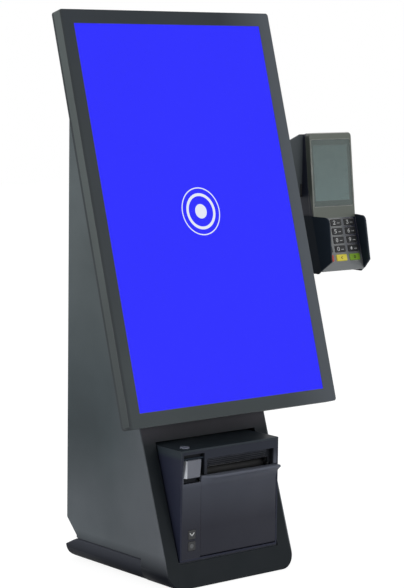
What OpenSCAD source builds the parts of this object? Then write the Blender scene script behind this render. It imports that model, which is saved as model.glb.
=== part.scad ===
// Counter-top self-service kiosk: a leaning touch display on a slim wedge stand,
// with a receipt printer in the stand's front and a payment terminal on an arm.
// Millimetres. +Z is up, the front faces -Y, the origin is the middle of the foot's anchors.

/* [Display] */
// Width of the lit screen area
screen_w = 324; // [300:1:350]
// Height of the lit screen area
screen_h = 518.4; // [480:0.1:560]
// Width of the frame beside the screen
border_side = 20.5; // [15:0.5:26]
// Width of the frame above and below the screen
border_end = 18.8; // [15:0.1:26]
// Thickness of the display from front to back
display_t = 17.2; // [15.5:0.1:22]
// Radius of the display's corners
display_corner_r = 4; // [2:0.5:8]
// Lean of the display from upright, in degrees
display_lean = 16.5; // [14:0.5:20]
// Height of the screen's middle above the counter
display_z = 494.2; // [480:0.1:530]
// How far the screen's middle lies ahead of the anchors' middle
display_ahead = 24.5; // [18:0.5:30]
// Thickness of the touch glass
glass_t = 2; // [1.5:0.1:3]
// Thickness of the screen panel behind the glass
lcd_t = 6; // [4:0.5:7]
// Height of the frame's lip over the glass
bezel_lip = 0.8; // [0.4:0.1:1.5]
// Width of the glass seat hidden under the frame
glass_seat = 6; // [4:0.5:9]
// Thickness of the display's back cover
back_cover_t = 4; // [3:0.5:5]
// Thickness of the plate that carries the display
mount_t = 3; // [2:0.5:5]
// Height of the plate that carries the display
mount_h = 210; // [180:5:240]

/* [Inside] */
// Width of the controller behind the display
controller_w = 140; // [120:1:150]
// Height of the controller behind the display
controller_h = 130; // [110:1:140]
// Depth of the controller behind the display
controller_d = 40; // [30:1:45]
// Width of the power supply on the floor
supply_w = 140; // [110:1:160]
// Height of the power supply on the floor
supply_h = 42; // [30:1:50]

/* [Stand] */
// Width of the body over its side panels
body_w = 222; // [214:1:236]
// Thickness of the body's sheet metal
sheet_t = 2; // [1.5:0.1:2.5]
// How far the body's back lies inside the foot's back edge
back_setback = 2; // [1.5:0.5:8]
// Lean of the lower front from upright, in degrees
front_lean = 18.6; // [17:0.1:20]
// How far the lower front lies ahead of the anchors' middle, at the counter
front_ahead = 102.9; // [99:0.1:107]
// Radius of the stand's lower edges
skirt_r = 22; // [18:0.5:28]
// How far the sides are turned under, back from the lower front
skirt_l = 63.5; // [58:0.5:70]
// Gap between the lower front and the counter
skirt_lift = 1; // [0.5:0.1:2]
// Height of the body's back edge
body_top = 649.2; // [610:0.1:670]
// How far the body's top climbs from its back edge to the display
top_climb = 50; // [35:1:60]
// Height of the sloped cut at the bottom of the back
rear_cut = 22.5; // [16:0.5:28]
// Shadow gap between the body and the foot
shadow_gap = 1.2; // [0.8:0.1:2]
// Height of the fixed part of the back
sill_top = 139.2; // [131:0.1:149]
// Height of the top panel's rear edge strip
top_strip = 11; // [9:0.5:16]
// How far the rear door's pins lie inside the side panel
hinge_inset = 12.5; // [12:0.1:15]
// How far the rear door's pins lie inside the back face
hinge_depth = 7; // [6:0.1:8]
// Radius of the rear door's pins
hinge_pin_r = 3; // [2:0.1:3.5]
// Radius of the door lock's barrel
lock_r = 9; // [7:0.5:10]
// Length of the lock's cam from its axis
cam_l = 18; // [16:0.5:19]
// How far the lock lies inside the left panel
lock_inset = 21; // [20:0.5:24]

/* [Foot] */
// Width of the foot
foot_w = 222; // [218:0.5:230]
// Depth of the stand at the counter
foot_d = 232.4; // [230:0.1:250]
// Thickness of the foot plate
foot_h = 31.7; // [29:0.1:37]
// Thickness of the rubber pad under the foot
pad_t = 1.5; // [1:0.1:3]
// How far the rubber pad lies inside the foot's flat underside
pad_inset = 3; // [2:0.5:8]
// Radius of the foot's top edges at its sides
foot_edge_r = 3; // [2:0.5:6]
// Radius of the foot's heel, above and below
heel_r = 9; // [6:0.5:12]
// How far the foot's top falls behind the body
heel_drop = 12; // [7:0.5:14]
// Distance between the counter anchors, side to side
anchor_x = 140; // [120:1:150]
// Distance between the counter anchors, front to back
anchor_y = 160; // [140:1:170]
// Radius of the counter anchor holes
anchor_r = 3.3; // [2.5:0.1:4]
// Depth of the counter anchor holes in the foot plate
anchor_depth = 14; // [10:0.5:17]

/* [Receipt printer] */
// Width of the printer
printer_w = 172; // [168:1:178]
// Height of the printer
printer_h = 150; // [148:1:158]
// Depth of the printer
printer_d = 150; // [144:1:152]
// How far the printer's face lies behind the lower front, at the counter
printer_setback = 11.9; // [10:0.1:13.5]
// Wall of the printer's case
case_wall = 2.5; // [2:0.1:3]
// Thickness of the fascia inside the case's mouth
fascia_t = 13; // [12:0.5:14]
// Width of the control column left of the paper door
column_w = 31.5; // [30:0.5:33]
// Height of the paper door
paper_door_h = 107; // [104:0.5:109]
// Thickness of the paper door
paper_door_t = 3; // [2.4:0.1:4]
// How far the paper door's top lip flares forward
lip_flare = 9.5; // [7:0.5:11]
// Radius of the pin the paper door swings on
door_pin_r = 1.5; // [1:0.1:1.8]
// Clear space round the printer in its bay
bay_gap = 2.2; // [1.5:0.1:2.6]
// Radius of the paper roll
roll_r = 42; // [34:0.5:44]
// Width of the paper roll
roll_w = 112; // [80:1:114]
// Radius of the spindle under the paper roll
spindle_r = 6; // [4:0.5:8]
// Radius of the platen roller
platen_r = 7; // [6:0.5:8]
// Radius of the platen's shaft
platen_shaft_r = 2.5; // [2:0.1:3]
// Tooth size of the feed gears, pitch diameter over tooth count
gear_module = 1; // [0.9:0.05:1.05]
// Teeth on the platen gear
platen_teeth = 24; // [24:2:26]
// Teeth on the motor pinion
pinion_teeth = 12; // [12:2:14]

/* [Printer controls] */
// Width of the cover lever
lever_w = 28; // [24:0.5:29]
// Height of the cover lever
lever_h = 24; // [20:0.5:26]
// Radius of the cover lever's stub pins
lever_pin_r = 1.5; // [1:0.1:1.8]
// Radius of the power button on the printer's top
power_button_r = 6.5; // [5:0.1:7]
// Side of the two square buttons
small_button = 12.5; // [10:0.5:13]
// Height of the upper square button above the printer's foot
feed_button_up = 35.5; // [34:0.5:40]
// Distance between the two square buttons
small_button_pitch = 15.5; // [15:0.1:17]
// Travel of the printer's buttons
button_travel = 0.9; // [0.5:0.1:1.2]

/* [Payment terminal] */
// Width of the terminal
term_w = 82; // [80:0.5:88]
// Space between the display's edge and the terminal
term_gap = 48.5; // [30:0.5:60]
// Height of the crease between the terminal's screen and keys
crease_z = 471.9; // [450:0.1:500]
// How far the crease lies behind the anchors' middle
crease_behind = 1.1; // [-2:0.1:4]
// Length of the terminal's face above the crease
head_l = 121.5; // [116:0.5:130]
// Length of the terminal's face below the crease
keypad_l = 79; // [78:0.5:88]
// Lean of the face above the crease, in degrees
head_lean = 6.3; // [4:0.1:8]
// Lean of the face below the crease, in degrees
keypad_lean = 15.5; // [14:0.1:18]
// Radius of the terminal's top corners
term_corner_r = 6.5; // [4:0.5:9]
// Depth of the terminal's front case
front_case_t = 9; // [8:0.1:10]
// Depth of the terminal at its top
term_top_t = 13.2; // [12.5:0.1:16]
// Depth of the terminal below the arm, behind the crease
term_rear_t = 42; // [36:0.5:48]
// Wall over the key pocket
key_wall = 2.5; // [2:0.1:3]
// Width of the terminal's screen glass
term_glass_w = 77; // [70:0.5:78]
// Height of the terminal's screen glass
term_glass_h = 96; // [90:0.5:99]
// Height of the screen glass above the crease
term_glass_up = 15.5; // [12:0.5:17]
// Thickness of the terminal's screen glass
term_glass_t = 2; // [1.5:0.1:2.5]
// Thickness of the arm's plate
arm_t = 3; // [2.5:0.1:5]
// Height of the arm's plate
arm_h = 72; // [62:0.5:76]
// How far the arm's plate reaches lower beside the terminal than behind it
arm_web_drop = 18; // [12:0.5:24]
// How far the key shield stands ahead of the crease
shield_reach = 28; // [22:0.5:34]
// How far the key shield's wings turn in, in degrees
shield_turn = 15; // [8:0.5:17]
// Thickness of the key shield's walls
shield_t = 2.4; // [1.8:0.1:3]

/* [Keys] */
// Width of a key
key_w = 20.5; // [18:0.5:21]
// Height of a key
key_h = 9.6; // [8:0.1:10]
// Distance between keys, side to side
key_pitch_x = 26; // [25:0.1:26.6]
// Distance between keys, up and down
key_pitch_y = 12.9; // [12.6:0.1:13.2]
// Distance from the crease to the middle of the first row
key_first = 8.8; // [8.4:0.1:9.4]
// How far a key stands out of the face
key_proud = 1.4; // [1.2:0.1:2]
// Travel of a key
key_travel = 1; // [0.6:0.1:1.1]

/* [Clearances] */
// Gap round pieces that are fitted together
fit_gap = 0.2; // [0.1:0.05:0.4]
// Gap round a shaft or pin in its hole
run_gap = 0.06; // [0.02:0.01:0.1]
// Gap round a moving key or button
move_gap = 0.35; // [0.25:0.05:0.5]
// Gap round the rear door
door_gap = 1.5; // [1:0.1:2]

/* [Hidden] */
$fn = 64;
eps = 0.5;
KEY_NAMES = [
    "key_1", "key_2", "key_3", "key_4", "key_5", "key_6", "key_7", "key_8", "key_9",
    "key_star", "key_0", "key_hash", "key_cancel", "key_clear", "key_enter",
];

// Colours
charcoal = "#34383a";
dark_steel = "#25282a";
black_plastic = "#16181a";
pale_plastic = "#a6a6ac";
screen_blue = "#3333ff";

// Display
display_w = screen_w + 2 * border_side;
display_h = screen_h + 2 * border_end;
bezel_d = display_t - back_cover_t;
seat_w = screen_w + 2 * glass_seat;
seat_h = screen_h + 2 * glass_seat;
mount_screw_x = body_w / 2 - sheet_t - 20;
mount_screw_y = mount_h / 2 - 18;
mount_screw_r = 2;
function display_back_y(z) =
    -display_ahead + (z - display_z) * tan(display_lean) + display_t / cos(display_lean);
display_low_z = display_z - display_h / 2 * cos(display_lean) - display_t * sin(display_lean);

// Stand
foot_back = foot_d - front_ahead;
body_back = foot_back - back_setback;
foot_top = pad_t + foot_h;
floor_top = foot_top + sheet_t;
body_z0 = foot_top + shadow_gap;
inner_x = body_w / 2 - sheet_t;
function front_y(z) = -front_ahead + z * tan(front_lean);
front_run = sheet_t / cos(front_lean);
skirt_x = body_w / 2 - skirt_r;
skirt_y = -front_ahead + skirt_l;
bend_z = skirt_lift + skirt_r;
tongue_gap = 1;
tongue_y = front_y(foot_top) + front_run + tongue_gap;
neck_z = display_low_z - 8.6;
neck_front_z = display_low_z + 11.4;
top_front_z = body_top + top_climb;
top_front_y = display_back_y(top_front_z);
top_slope = atan2(top_climb, body_back - top_front_y);
top_run = sheet_t / cos(top_slope);
cut_z = floor_top + 2.5;
rear_foot_y = body_back - rear_cut;
strip_z = body_top - top_strip;
hinge_x = inner_x - hinge_inset;
hinge_y = body_back - hinge_depth;
hinge_lug = 6;
hinge_shelf = 9;
door_tail = sqrt(pow(hinge_inset - 0.7, 2) - pow(hinge_depth, 2));
door_z0 = sill_top + door_gap;
door_z1 = strip_z - door_gap;
lock_x = -inner_x + lock_inset;
lock_z = (door_z0 + door_z1) / 2;
cam_w = 12;
cam_t = 3;
cam_y = body_back - 14;
strike_w = 7.5;
bolt_x = (printer_w / 2 + inner_x - sheet_t) / 2;
bolt_ys = [skirt_y + 14, foot_back * 0.6];
bolt_head_r = 4.8;
bolt_r = 3;
bolt_l = 14;
arm_screw_r = 2;
vent_count = 7;
vent_pitch = 13;
vent_w = 110;
vent_h = 4;

// Power inlet and cable hole in the sill
inlet_x = -45;
inlet_z = 101.2;
inlet_w = 30;
inlet_h = 24;
inlet_d = 22;
inlet_rim = 3;
socket_w = 24;
socket_h = 17;
socket_d = 15;
grommet_x = 45;
grommet_bore_r = 6;
grommet_groove_r = 9;
grommet_r = 12;

// Printer
printer_y0 = -front_ahead + printer_setback;
printer_y1 = printer_y0 + printer_d;
printer_z0 = floor_top;
printer_z1 = printer_z0 + printer_h;
case_x = printer_w / 2;
mouth_x = case_x - case_wall;
mouth_z0 = printer_z0 + case_wall;
mouth_z1 = printer_z1 - case_wall;
fascia_x0 = -mouth_x + fit_gap;
fascia_x1 = mouth_x - fit_gap;
fascia_y1 = printer_y0 + fascia_t;
column_x = fascia_x0 + column_w;
bay_x = case_x + bay_gap;
bay_top = printer_z1 + 2 * bay_gap;
hinge_bead_r = paper_door_t;
door_axis_y = printer_y0 + hinge_bead_r;
door_axis_z = mouth_z0 + 0.6 + hinge_bead_r;
paper_door_x0 = column_x + 0.5;
paper_door_x1 = mouth_x - 0.5;
paper_door_top = door_axis_z + paper_door_h;
band_z = paper_door_top + 1;
flare_r = 20;
flare_turn = acos(1 - lip_flare / flare_r);
flare_z = paper_door_top - 3 - flare_r * sin(flare_turn);

// Paper pocket and slot in the fascia
pocket_x0 = column_x + 10.6;
pocket_x1 = fascia_x1 - 5.5;
pocket_z1 = band_z + 21.5;
pocket_d = 9;
slot_h = 8.5;
slot_inset = 3;
ramp_end_gap = 12;
rib_count = 4;
rib_t = 1;

// Lever recess in the fascia
recess_d = 8;
recess_x0 = fascia_x0 + 1.6;
recess_x1 = pocket_x0 - 4.6;
recess_z0 = band_z - 9;
recess_z1 = mouth_z1 - 3.6;
lever_x0 = recess_x0 + 2;
lever_x1 = lever_x0 + lever_w;
lever_z1 = recess_z1 - 3.6;
lever_z0 = lever_z1 - lever_h - 4;
lever_axis_y = printer_y0 + 3.8;
lever_axis_z = lever_z1 - 3;

// Buttons
small_x = fascia_x0 + 17;
feed_z = printer_z0 + feed_button_up;
mode_z = feed_z - small_button_pitch;
small_wall = 5;
power_x = -case_x + 20;
power_y = printer_y0 + 17.6;
power_stem = 4;
power_room = power_stem + button_travel + 1.1;
pressed_proud = 0.5;
button_flange = 1.5;
button_rim = 1.5;

// Printing mechanism
paper_x = (pocket_x0 + pocket_x1) / 2;
platen_y = fascia_y1 + gear_module * (platen_teeth / 2 + 1) + 1.2;
platen_z = band_z + slot_h / 2 + 0.5 - platen_r;
gear_gap = gear_module * (platen_teeth + pinion_teeth) / 2;
motor_y = platen_y + gear_gap;
motor_r = gear_gap - platen_r - 1;
motor_l = 34;
frame_t = 3;
frame_x0 = pocket_x0 - 6;
frame_x1 = pocket_x1 + 1;
frame_y0 = fascia_y1 + 0.8;
frame_y1 = motor_y + motor_r + 2;
frame_z0 = platen_z - motor_r - 3;
gear_w = 4.5;
gear_x0 = frame_x0 - frame_t - gear_w - 0.8;
pinion_shaft_r = 1.8;
roll_y = printer_y1 - case_wall - roll_r - 8;
roll_z = mouth_z0 + roll_r + 5;

// Terminal
outer_x = display_w / 2;
term_x0 = outer_x + term_gap;
term_x1 = term_x0 + term_w;
term_x = (term_x0 + term_x1) / 2;
head_top = [crease_behind + head_l * sin(head_lean), crease_z + head_l * cos(head_lean)];
crease = [crease_behind, crease_z];
keypad_low = [crease_behind - keypad_l * sin(keypad_lean), crease_z - keypad_l * cos(keypad_lean)];
case_step = [front_case_t, 0];
keypad_case_t = front_case_t * cos(keypad_lean);
arm_y = head_top[0] + term_top_t;
arm_z1 = head_top[1] - 2.5;
arm_z0 = arm_z1 - arm_h;
arm_low_z1 = arm_z1 - 19;
arm_shoulder = 46;
arm_reach = 30;
arm_web_x = term_x0 - fit_gap;
arm_foot = 44;
rear_y = crease_behind + term_rear_t;
card_w = 56;
pocket_hw = key_pitch_x + key_w / 2 + 2;
pocket_low = key_first + 4 * key_pitch_y + key_h / 2 + 2;
key_pocket_top = key_first - key_h / 2 - 1.6;
mat_t = 2;
key_flange = 0.8;
lcd_hw = term_glass_w / 2 - 5;
lcd_edge = 8;
shield_z1 = crease_z + 1.8;
shield_z0 = keypad_low[1] - 3.6;
shield_in = term_w / 2 + fit_gap;
shield_x0 = term_x - shield_in - shield_t;
shield_x1 = term_x + shield_in + shield_t;
shield_corner_r = 9;
shield_lean = 7.5;
strap_z0 = crease_z - 45;
strap_z1 = crease_z - 15;

// Shared shapes
// An outline in the Y-Z plane, drawn out along X
module yz_prism(points, x0, x1)
    translate([x0, 0, 0]) rotate([90, 0, 90]) linear_extrude(x1 - x0) polygon(points);

// An outline in the X-Z plane, drawn out along Y
module xz_prism(points, y0, y1)
    translate([0, y1, 0]) rotate([90, 0, 0]) linear_extrude(y1 - y0) polygon(points);

// A block between two corners
module block(low, high) translate(low) cube(high - low);

// Round bars along X, Y and Z
module x_bar(x0, x1, y, z, r) translate([x0, y, z]) rotate([0, 90, 0]) cylinder(h = x1 - x0, r = r);
module y_bar(x, y0, y1, z, r) translate([x, y0, z]) rotate([-90, 0, 0]) cylinder(h = y1 - y0, r = r);
module z_bar(x, y, z0, z1, r) translate([x, y, z0]) cylinder(h = z1 - z0, r = r);

// A rectangle with round corners about its middle
module round_rect(w, h, r) {
    square([w - 2 * r, h], center = true);
    square([w, h - 2 * r], center = true);
    for (sx = [-1, 1], sy = [-1, 1])
        translate([sx * (w / 2 - r), sy * (h / 2 - r)]) circle(r);
}

// A plate with round corners, from z0 to z1
module plate(w, h, r, z0, z1) translate([0, 0, z0]) linear_extrude(z1 - z0) round_rect(w, h, r);

// A spur gear drawn out along X, with a tooth pointing to +Y
module gear_x(teeth, x0, x1, y, z, turn) {
    pitch_r = gear_module * teeth / 2;
    step = 360 / teeth;
    half = 0.2 * step;
    lean = 0.36 * gear_module / pitch_r * 180 / PI;
    tip_r = pitch_r + 0.8 * gear_module;
    root_r = pitch_r - 1.15 * gear_module;
    outline = [
        for (i = [0 : teeth - 1], c = [[root_r, -half - 1.15 * lean], [tip_r, -half + 0.8 * lean],
                                      [tip_r, half - 0.8 * lean], [root_r, half + 1.15 * lean]])
            let (a = i * step + turn + c[1]) [c[0] * cos(a), c[0] * sin(a)]
    ];
    translate([0, y, z]) yz_prism(outline, x0, x1);
}

// Frames of the leaning faces: X to the right, Y up the face, Z out of the face
module on_display() translate([0, -display_ahead, display_z]) rotate([90 - display_lean, 0, 0]) children();
module on_head() translate([term_x, crease[0], crease[1]]) rotate([90 - head_lean, 0, 0]) children();
module on_keypad() translate([term_x, crease[0], crease[1]]) rotate([90 - keypad_lean, 0, 0]) children();
module off_keypad() rotate([keypad_lean - 90, 0, 0]) translate([-term_x, -crease[0], -crease[1]]) children();

// Places the children at the four counter anchors
module at_anchors() for (sx = [-1, 1], sy = [-1, 1])
    translate([sx * anchor_x / 2, sy * anchor_y / 2, 0]) children();

// Places the children at the bolts between body and foot
module at_bolts() for (sx = [-1, 1], y = bolt_ys) translate([sx * bolt_x, y, 0]) children();

// Places the children at the screws of the display mount
module at_mount_screws() for (sx = [-1, 1], sy = [-1, 1])
    translate([sx * mount_screw_x, sy * mount_screw_y, 0]) children();

// Foot
module base_pad() color("#101112") difference() {
    pad_y0 = tongue_y + pad_inset;
    pad_y1 = foot_back - heel_r - pad_inset;
    translate([0, (pad_y0 + pad_y1) / 2, 0]) plate(2 * (skirt_x - pad_inset), pad_y1 - pad_y0, 8, 0, pad_t);
    at_anchors() z_bar(0, 0, -eps, pad_t + eps, anchor_r);
}

// A bar along Y with round edges, whose section is a rectangle from z0 to z1
module y_beam(w, z0, z1, r, y0, y1)
    translate([0, y1, (z0 + z1) / 2]) rotate([90, 0, 0]) linear_extrude(y1 - y0) round_rect(w, z1 - z0, r);

// A plate with round lower edges and a rounded heel, whose top falls away behind the body, and a tongue
// between the turned-under sides
module base_plate() color(dark_steel) difference() {
    plate_y = skirt_y + fit_gap;
    lap = 5;
    tongue_r = skirt_r - sheet_t - tongue_gap;
    union() {
        intersection() {
            y_beam(foot_w, pad_t, pad_t + foot_d, skirt_r, plate_y, foot_back);
            y_beam(foot_w, foot_top - foot_d, foot_top, foot_edge_r, plate_y, foot_back);
            translate([-foot_w, foot_back - foot_d, pad_t + foot_h / 2]) rotate([90, 0, 90])
                linear_extrude(2 * foot_w) round_rect(2 * foot_d, foot_h, heel_r);
        }
        intersection() {
            y_beam(2 * (inner_x - tongue_gap), bend_z - tongue_r, foot_d, tongue_r, tongue_y, plate_y + lap);
            block([-inner_x, tongue_y, 0], [inner_x, plate_y + lap, foot_top]);
        }
        block([-skirt_x + tongue_gap, tongue_y, pad_t], [skirt_x - tongue_gap, plate_y + lap, foot_top]);
    }
    yz_prism([
        [rear_foot_y, foot_top], [foot_back + eps, foot_top - heel_drop],
        [foot_back + eps, foot_top + eps], [rear_foot_y, foot_top + eps],
    ], -foot_w, foot_w);
    at_anchors() z_bar(0, 0, pad_t - eps, pad_t + anchor_depth, anchor_r);
    at_bolts() z_bar(0, 0, foot_top - bolt_l, foot_top + eps, bolt_r + run_gap);
}

// Body
module body_floor() color(dark_steel) difference() {
    flange_h = 14;
    flange_y = front_y(floor_top) + 12;
    union() {
        block([-inner_x, front_y(floor_top) + front_run + fit_gap, foot_top],
              [inner_x, rear_foot_y, floor_top]);
        for (side = [0, 1]) mirror([side, 0, 0])
            block([inner_x - sheet_t, flange_y, floor_top],
                  [inner_x, rear_foot_y - sheet_t, floor_top + flange_h]);
    }
    at_bolts() z_bar(0, 0, foot_top - eps, floor_top + eps, bolt_r + run_gap);
}

side_outline = [
    [front_y(bend_z), bend_z], [skirt_y, bend_z], [skirt_y, body_z0],
    [rear_foot_y, body_z0], [rear_foot_y, cut_z],
    [body_back, cut_z + rear_cut], [body_back, body_top], [top_front_y, top_front_z],
    [display_back_y(neck_front_z), neck_front_z], [front_y(neck_z), neck_z],
];

// The left side's lower edge, turned under behind the lower front
module turned_edge() intersection() {
    difference() {
        y_bar(-skirt_x, -2 * front_ahead, skirt_y, bend_z, skirt_r);
        y_bar(-skirt_x, -2 * front_ahead - eps, skirt_y + eps, bend_z, skirt_r - sheet_t);
    }
    yz_prism([
        [front_y(0), 0], [skirt_y + eps, 0], [skirt_y + eps, bend_z], [front_y(bend_z), bend_z],
    ], -body_w, -skirt_x);
}

module left_side_panel() color(charcoal) {
    yz_prism(side_outline, -body_w / 2, -inner_x);
    turned_edge();
}

// Upright strip that the lock's cam turns behind
module lock_post() color(charcoal)
    block([-inner_x, hinge_y, sill_top], [-inner_x + strike_w, hinge_y + sheet_t, strip_z]);

module right_side_panel() color(charcoal) difference() {
    union() {
        yz_prism(side_outline, inner_x, body_w / 2);
        mirror([1, 0, 0]) turned_edge();
    }
    for (y = arm_screw_ys) x_bar(inner_x - eps, body_w / 2 + eps, y, arm_screw_z, arm_screw_r + run_gap);
}

// Leaning plate with round bottom corners and the printer's bay
module front_panel() color(charcoal) difference() {
    intersection() {
        yz_prism([
            [front_y(skirt_lift), skirt_lift], [front_y(neck_z), neck_z],
            [front_y(neck_z) + front_run, neck_z], [front_y(skirt_lift) + front_run, skirt_lift],
        ], -inner_x, inner_x);
        union() {
            block([-inner_x, -2 * front_ahead, bend_z], [inner_x, front_ahead, neck_z + eps]);
            block([-skirt_x, -2 * front_ahead, 0], [skirt_x, front_ahead, bend_z + eps]);
            for (side = [-1, 1])
                y_bar(side * skirt_x, -2 * front_ahead, front_ahead, bend_z, skirt_r - sheet_t);
        }
    }
    block([-bay_x, -2 * front_ahead, printer_z0 - bay_gap], [bay_x, front_ahead, bay_top]);
}

module neck_panel() color(charcoal) yz_prism([
    [front_y(neck_z), neck_z], [display_back_y(neck_front_z), neck_front_z],
    [display_back_y(neck_front_z + sheet_t), neck_front_z + sheet_t],
    [front_y(neck_z) + front_run, neck_z + sheet_t], [front_y(neck_z) + front_run, neck_z],
], -inner_x, inner_x);

module top_panel() color(charcoal) difference() {
    union() {
        yz_prism([
            [top_front_y, top_front_z], [body_back, body_top], [body_back, strip_z],
            [body_back - sheet_t, strip_z],
            [body_back - sheet_t, body_top + sheet_t * tan(top_slope) - top_run],
            [top_front_y, top_front_z - top_run],
        ], -inner_x, inner_x);
        block([hinge_x - hinge_shelf, hinge_y - hinge_lug, strip_z],
              [inner_x, body_back - sheet_t, strip_z + sheet_t]);
    }
    z_bar(hinge_x, hinge_y, strip_z - eps, strip_z + sheet_t + eps, hinge_pin_r + run_gap);
}

module rear_sill() color(charcoal) difference() {
    union() {
        yz_prism([
            [rear_foot_y, floor_top], [rear_foot_y, cut_z], [body_back, cut_z + rear_cut],
            [body_back, sill_top], [body_back - sheet_t, sill_top],
            [body_back - sheet_t, cut_z + rear_cut + sheet_t / 2],
            [rear_foot_y - sheet_t, cut_z + sheet_t / 2], [rear_foot_y - sheet_t, floor_top],
        ], -inner_x, inner_x);
        block([hinge_x - hinge_shelf, hinge_y - hinge_lug, sill_top - sheet_t],
              [inner_x, body_back - sheet_t, sill_top]);
    }
    z_bar(hinge_x, hinge_y, sill_top - sheet_t - eps, sill_top + eps, hinge_pin_r + run_gap);
    block([inlet_x - inlet_w / 2 - fit_gap, body_back - sheet_t - eps, inlet_z - inlet_h / 2 - fit_gap],
          [inlet_x + inlet_w / 2 + fit_gap, body_back + eps, inlet_z + inlet_h / 2 + fit_gap]);
    y_bar(grommet_x, body_back - sheet_t - eps, body_back + eps, inlet_z, grommet_groove_r + run_gap);
}

module rear_door() color(charcoal) difference() {
    union() {
        block([-inner_x + door_gap, body_back - sheet_t, door_z0], [hinge_x + door_tail, body_back, door_z1]);
        for (z = [door_z0 + 0.5, door_z1 - 8.5])
            block([hinge_x - hinge_lug, hinge_y - hinge_lug, z],
                  [hinge_x + hinge_lug, body_back - sheet_t, z + 8]);
    }
    z_bar(hinge_x, hinge_y, door_z0 - eps, door_z1 + eps, hinge_pin_r);
    y_bar(lock_x, body_back - sheet_t - eps, body_back + eps, lock_z, lock_r + run_gap);
    for (i = [0 : vent_count - 1])
        translate([0, body_back - sheet_t / 2, door_z1 - 60 - i * vent_pitch]) rotate([90, 0, 0])
            plate(vent_w, vent_h, vent_h / 2 - 0.1, -sheet_t, sheet_t);
}

module rear_door_pins() color("#8c8f92") {
    z_bar(hinge_x, hinge_y, sill_top - sheet_t - 1, door_z0 + 8.5, hinge_pin_r);
    z_bar(hinge_x, hinge_y, door_z1 - 8.5, strip_z + sheet_t + 1, hinge_pin_r);
}

module lock_barrel() color("#b4b6b8") difference() {
    union() {
        y_bar(lock_x, cam_y, body_back + 1, lock_z, lock_r);
        y_bar(lock_x, body_back + 0.3, body_back + 2.5, lock_z, lock_r + 2.5);
        block([lock_x - cam_w / 2, cam_y, lock_z], [lock_x + cam_w / 2, cam_y + cam_t, lock_z + cam_l]);
    }
    block([lock_x - 0.7, body_back - 2, lock_z - 4], [lock_x + 0.7, body_back + 3, lock_z + 4]);
}

// Bolts of the body on the foot, and screws: display mount to back cover, arm to right side panel,
// terminal to arm
arm_screw_ys = [arm_y + 14, arm_y + 34];
arm_screw_z = (arm_z0 + arm_low_z1) / 2;
term_screw_xs = [term_x - 20, term_x + 20];
term_screw_z = arm_z1 - 20;
screw_head_r = 3.6;
screw_head_t = 2.2;

module fasteners() color("#9a9da0") {
    at_bolts() {
        z_bar(0, 0, foot_top - bolt_l + 1, floor_top, bolt_r);
        z_bar(0, 0, floor_top, floor_top + 4, bolt_head_r);
    }
    on_display() at_mount_screws() {
        z_bar(0, 0, -display_t - mount_t, -bezel_d - 1, mount_screw_r);
        z_bar(0, 0, -display_t - mount_t - screw_head_t, -display_t - mount_t, screw_head_r);
    }
    for (y = arm_screw_ys) {
        x_bar(inner_x - 4, body_w / 2 + arm_t, y, arm_screw_z, arm_screw_r);
        x_bar(body_w / 2 + arm_t, body_w / 2 + arm_t + screw_head_t, y, arm_screw_z, screw_head_r);
    }
    for (x = term_screw_xs) {
        y_bar(x, arm_y - 3.5, arm_y + arm_t, term_screw_z, arm_screw_r);
        y_bar(x, arm_y + arm_t, arm_y + arm_t + screw_head_t, term_screw_z, screw_head_r);
    }
}

module power_inlet() color(black_plastic) difference() {
    union() {
        block([inlet_x - inlet_w / 2, body_back - inlet_d, inlet_z - inlet_h / 2],
              [inlet_x + inlet_w / 2, body_back, inlet_z + inlet_h / 2]);
        block([inlet_x - inlet_w / 2 - inlet_rim, body_back, inlet_z - inlet_h / 2 - inlet_rim],
              [inlet_x + inlet_w / 2 + inlet_rim, body_back + 1.6, inlet_z + inlet_h / 2 + inlet_rim]);
    }
    difference() {
        block([inlet_x - socket_w / 2, body_back - socket_d, inlet_z - socket_h / 2],
              [inlet_x + socket_w / 2, body_back + 2, inlet_z + socket_h / 2]);
        // Three contact blades
        for (c = [[-7, -2], [0, 2], [7, -2]])
            block([inlet_x + c[0] - 1, body_back - socket_d - eps, inlet_z + c[1] - 2],
                  [inlet_x + c[0] + 1, body_back - 5, inlet_z + c[1] + 2]);
    }
}

module cable_grommet() color("#0d0e0f") translate([grommet_x, body_back - sheet_t, inlet_z])
    rotate([-90, 0, 0]) rotate_extrude() polygon([
        [grommet_bore_r, -3], [grommet_r - 1, -3], [grommet_r, -2], [grommet_r, 0], [grommet_groove_r, 0],
        [grommet_groove_r, sheet_t], [grommet_r, sheet_t], [grommet_r, sheet_t + 2],
        [grommet_r - 1, sheet_t + 3], [grommet_bore_r, sheet_t + 3],
    ]);

// Display
module display_bezel() color("#3a3e40") on_display() difference() {
    plate(display_w, display_h, display_corner_r, -bezel_d, 0);
    block([-screen_w / 2, -screen_h / 2, -bezel_d], [screen_w / 2, screen_h / 2, eps]);
    block([-seat_w / 2, -seat_h / 2, -bezel_d - eps], [seat_w / 2, seat_h / 2, -bezel_lip]);
}

module touch_glass() color("#4a52ff") on_display()
    plate(seat_w - 2 * fit_gap, seat_h - 2 * fit_gap, 1, -bezel_lip - glass_t, -bezel_lip);

module lcd_panel() color(screen_blue) on_display()
    plate(seat_w - 2 * fit_gap, seat_h - 2 * fit_gap, 1, -bezel_lip - glass_t - lcd_t, -bezel_lip - glass_t);

module display_back_cover() color("#2c2f31") on_display() difference() {
    plate(display_w, display_h, display_corner_r, -display_t, -bezel_d);
    at_mount_screws() z_bar(0, 0, -display_t - eps, -bezel_d + eps, mount_screw_r);
}

module display_mount() color("#4d5052") on_display() difference() {
    block([-inner_x, -mount_h / 2, -display_t - mount_t], [inner_x, mount_h / 2, -display_t]);
    at_mount_screws() z_bar(0, 0, -display_t - mount_t - eps, -display_t + eps, mount_screw_r + run_gap);
}

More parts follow.
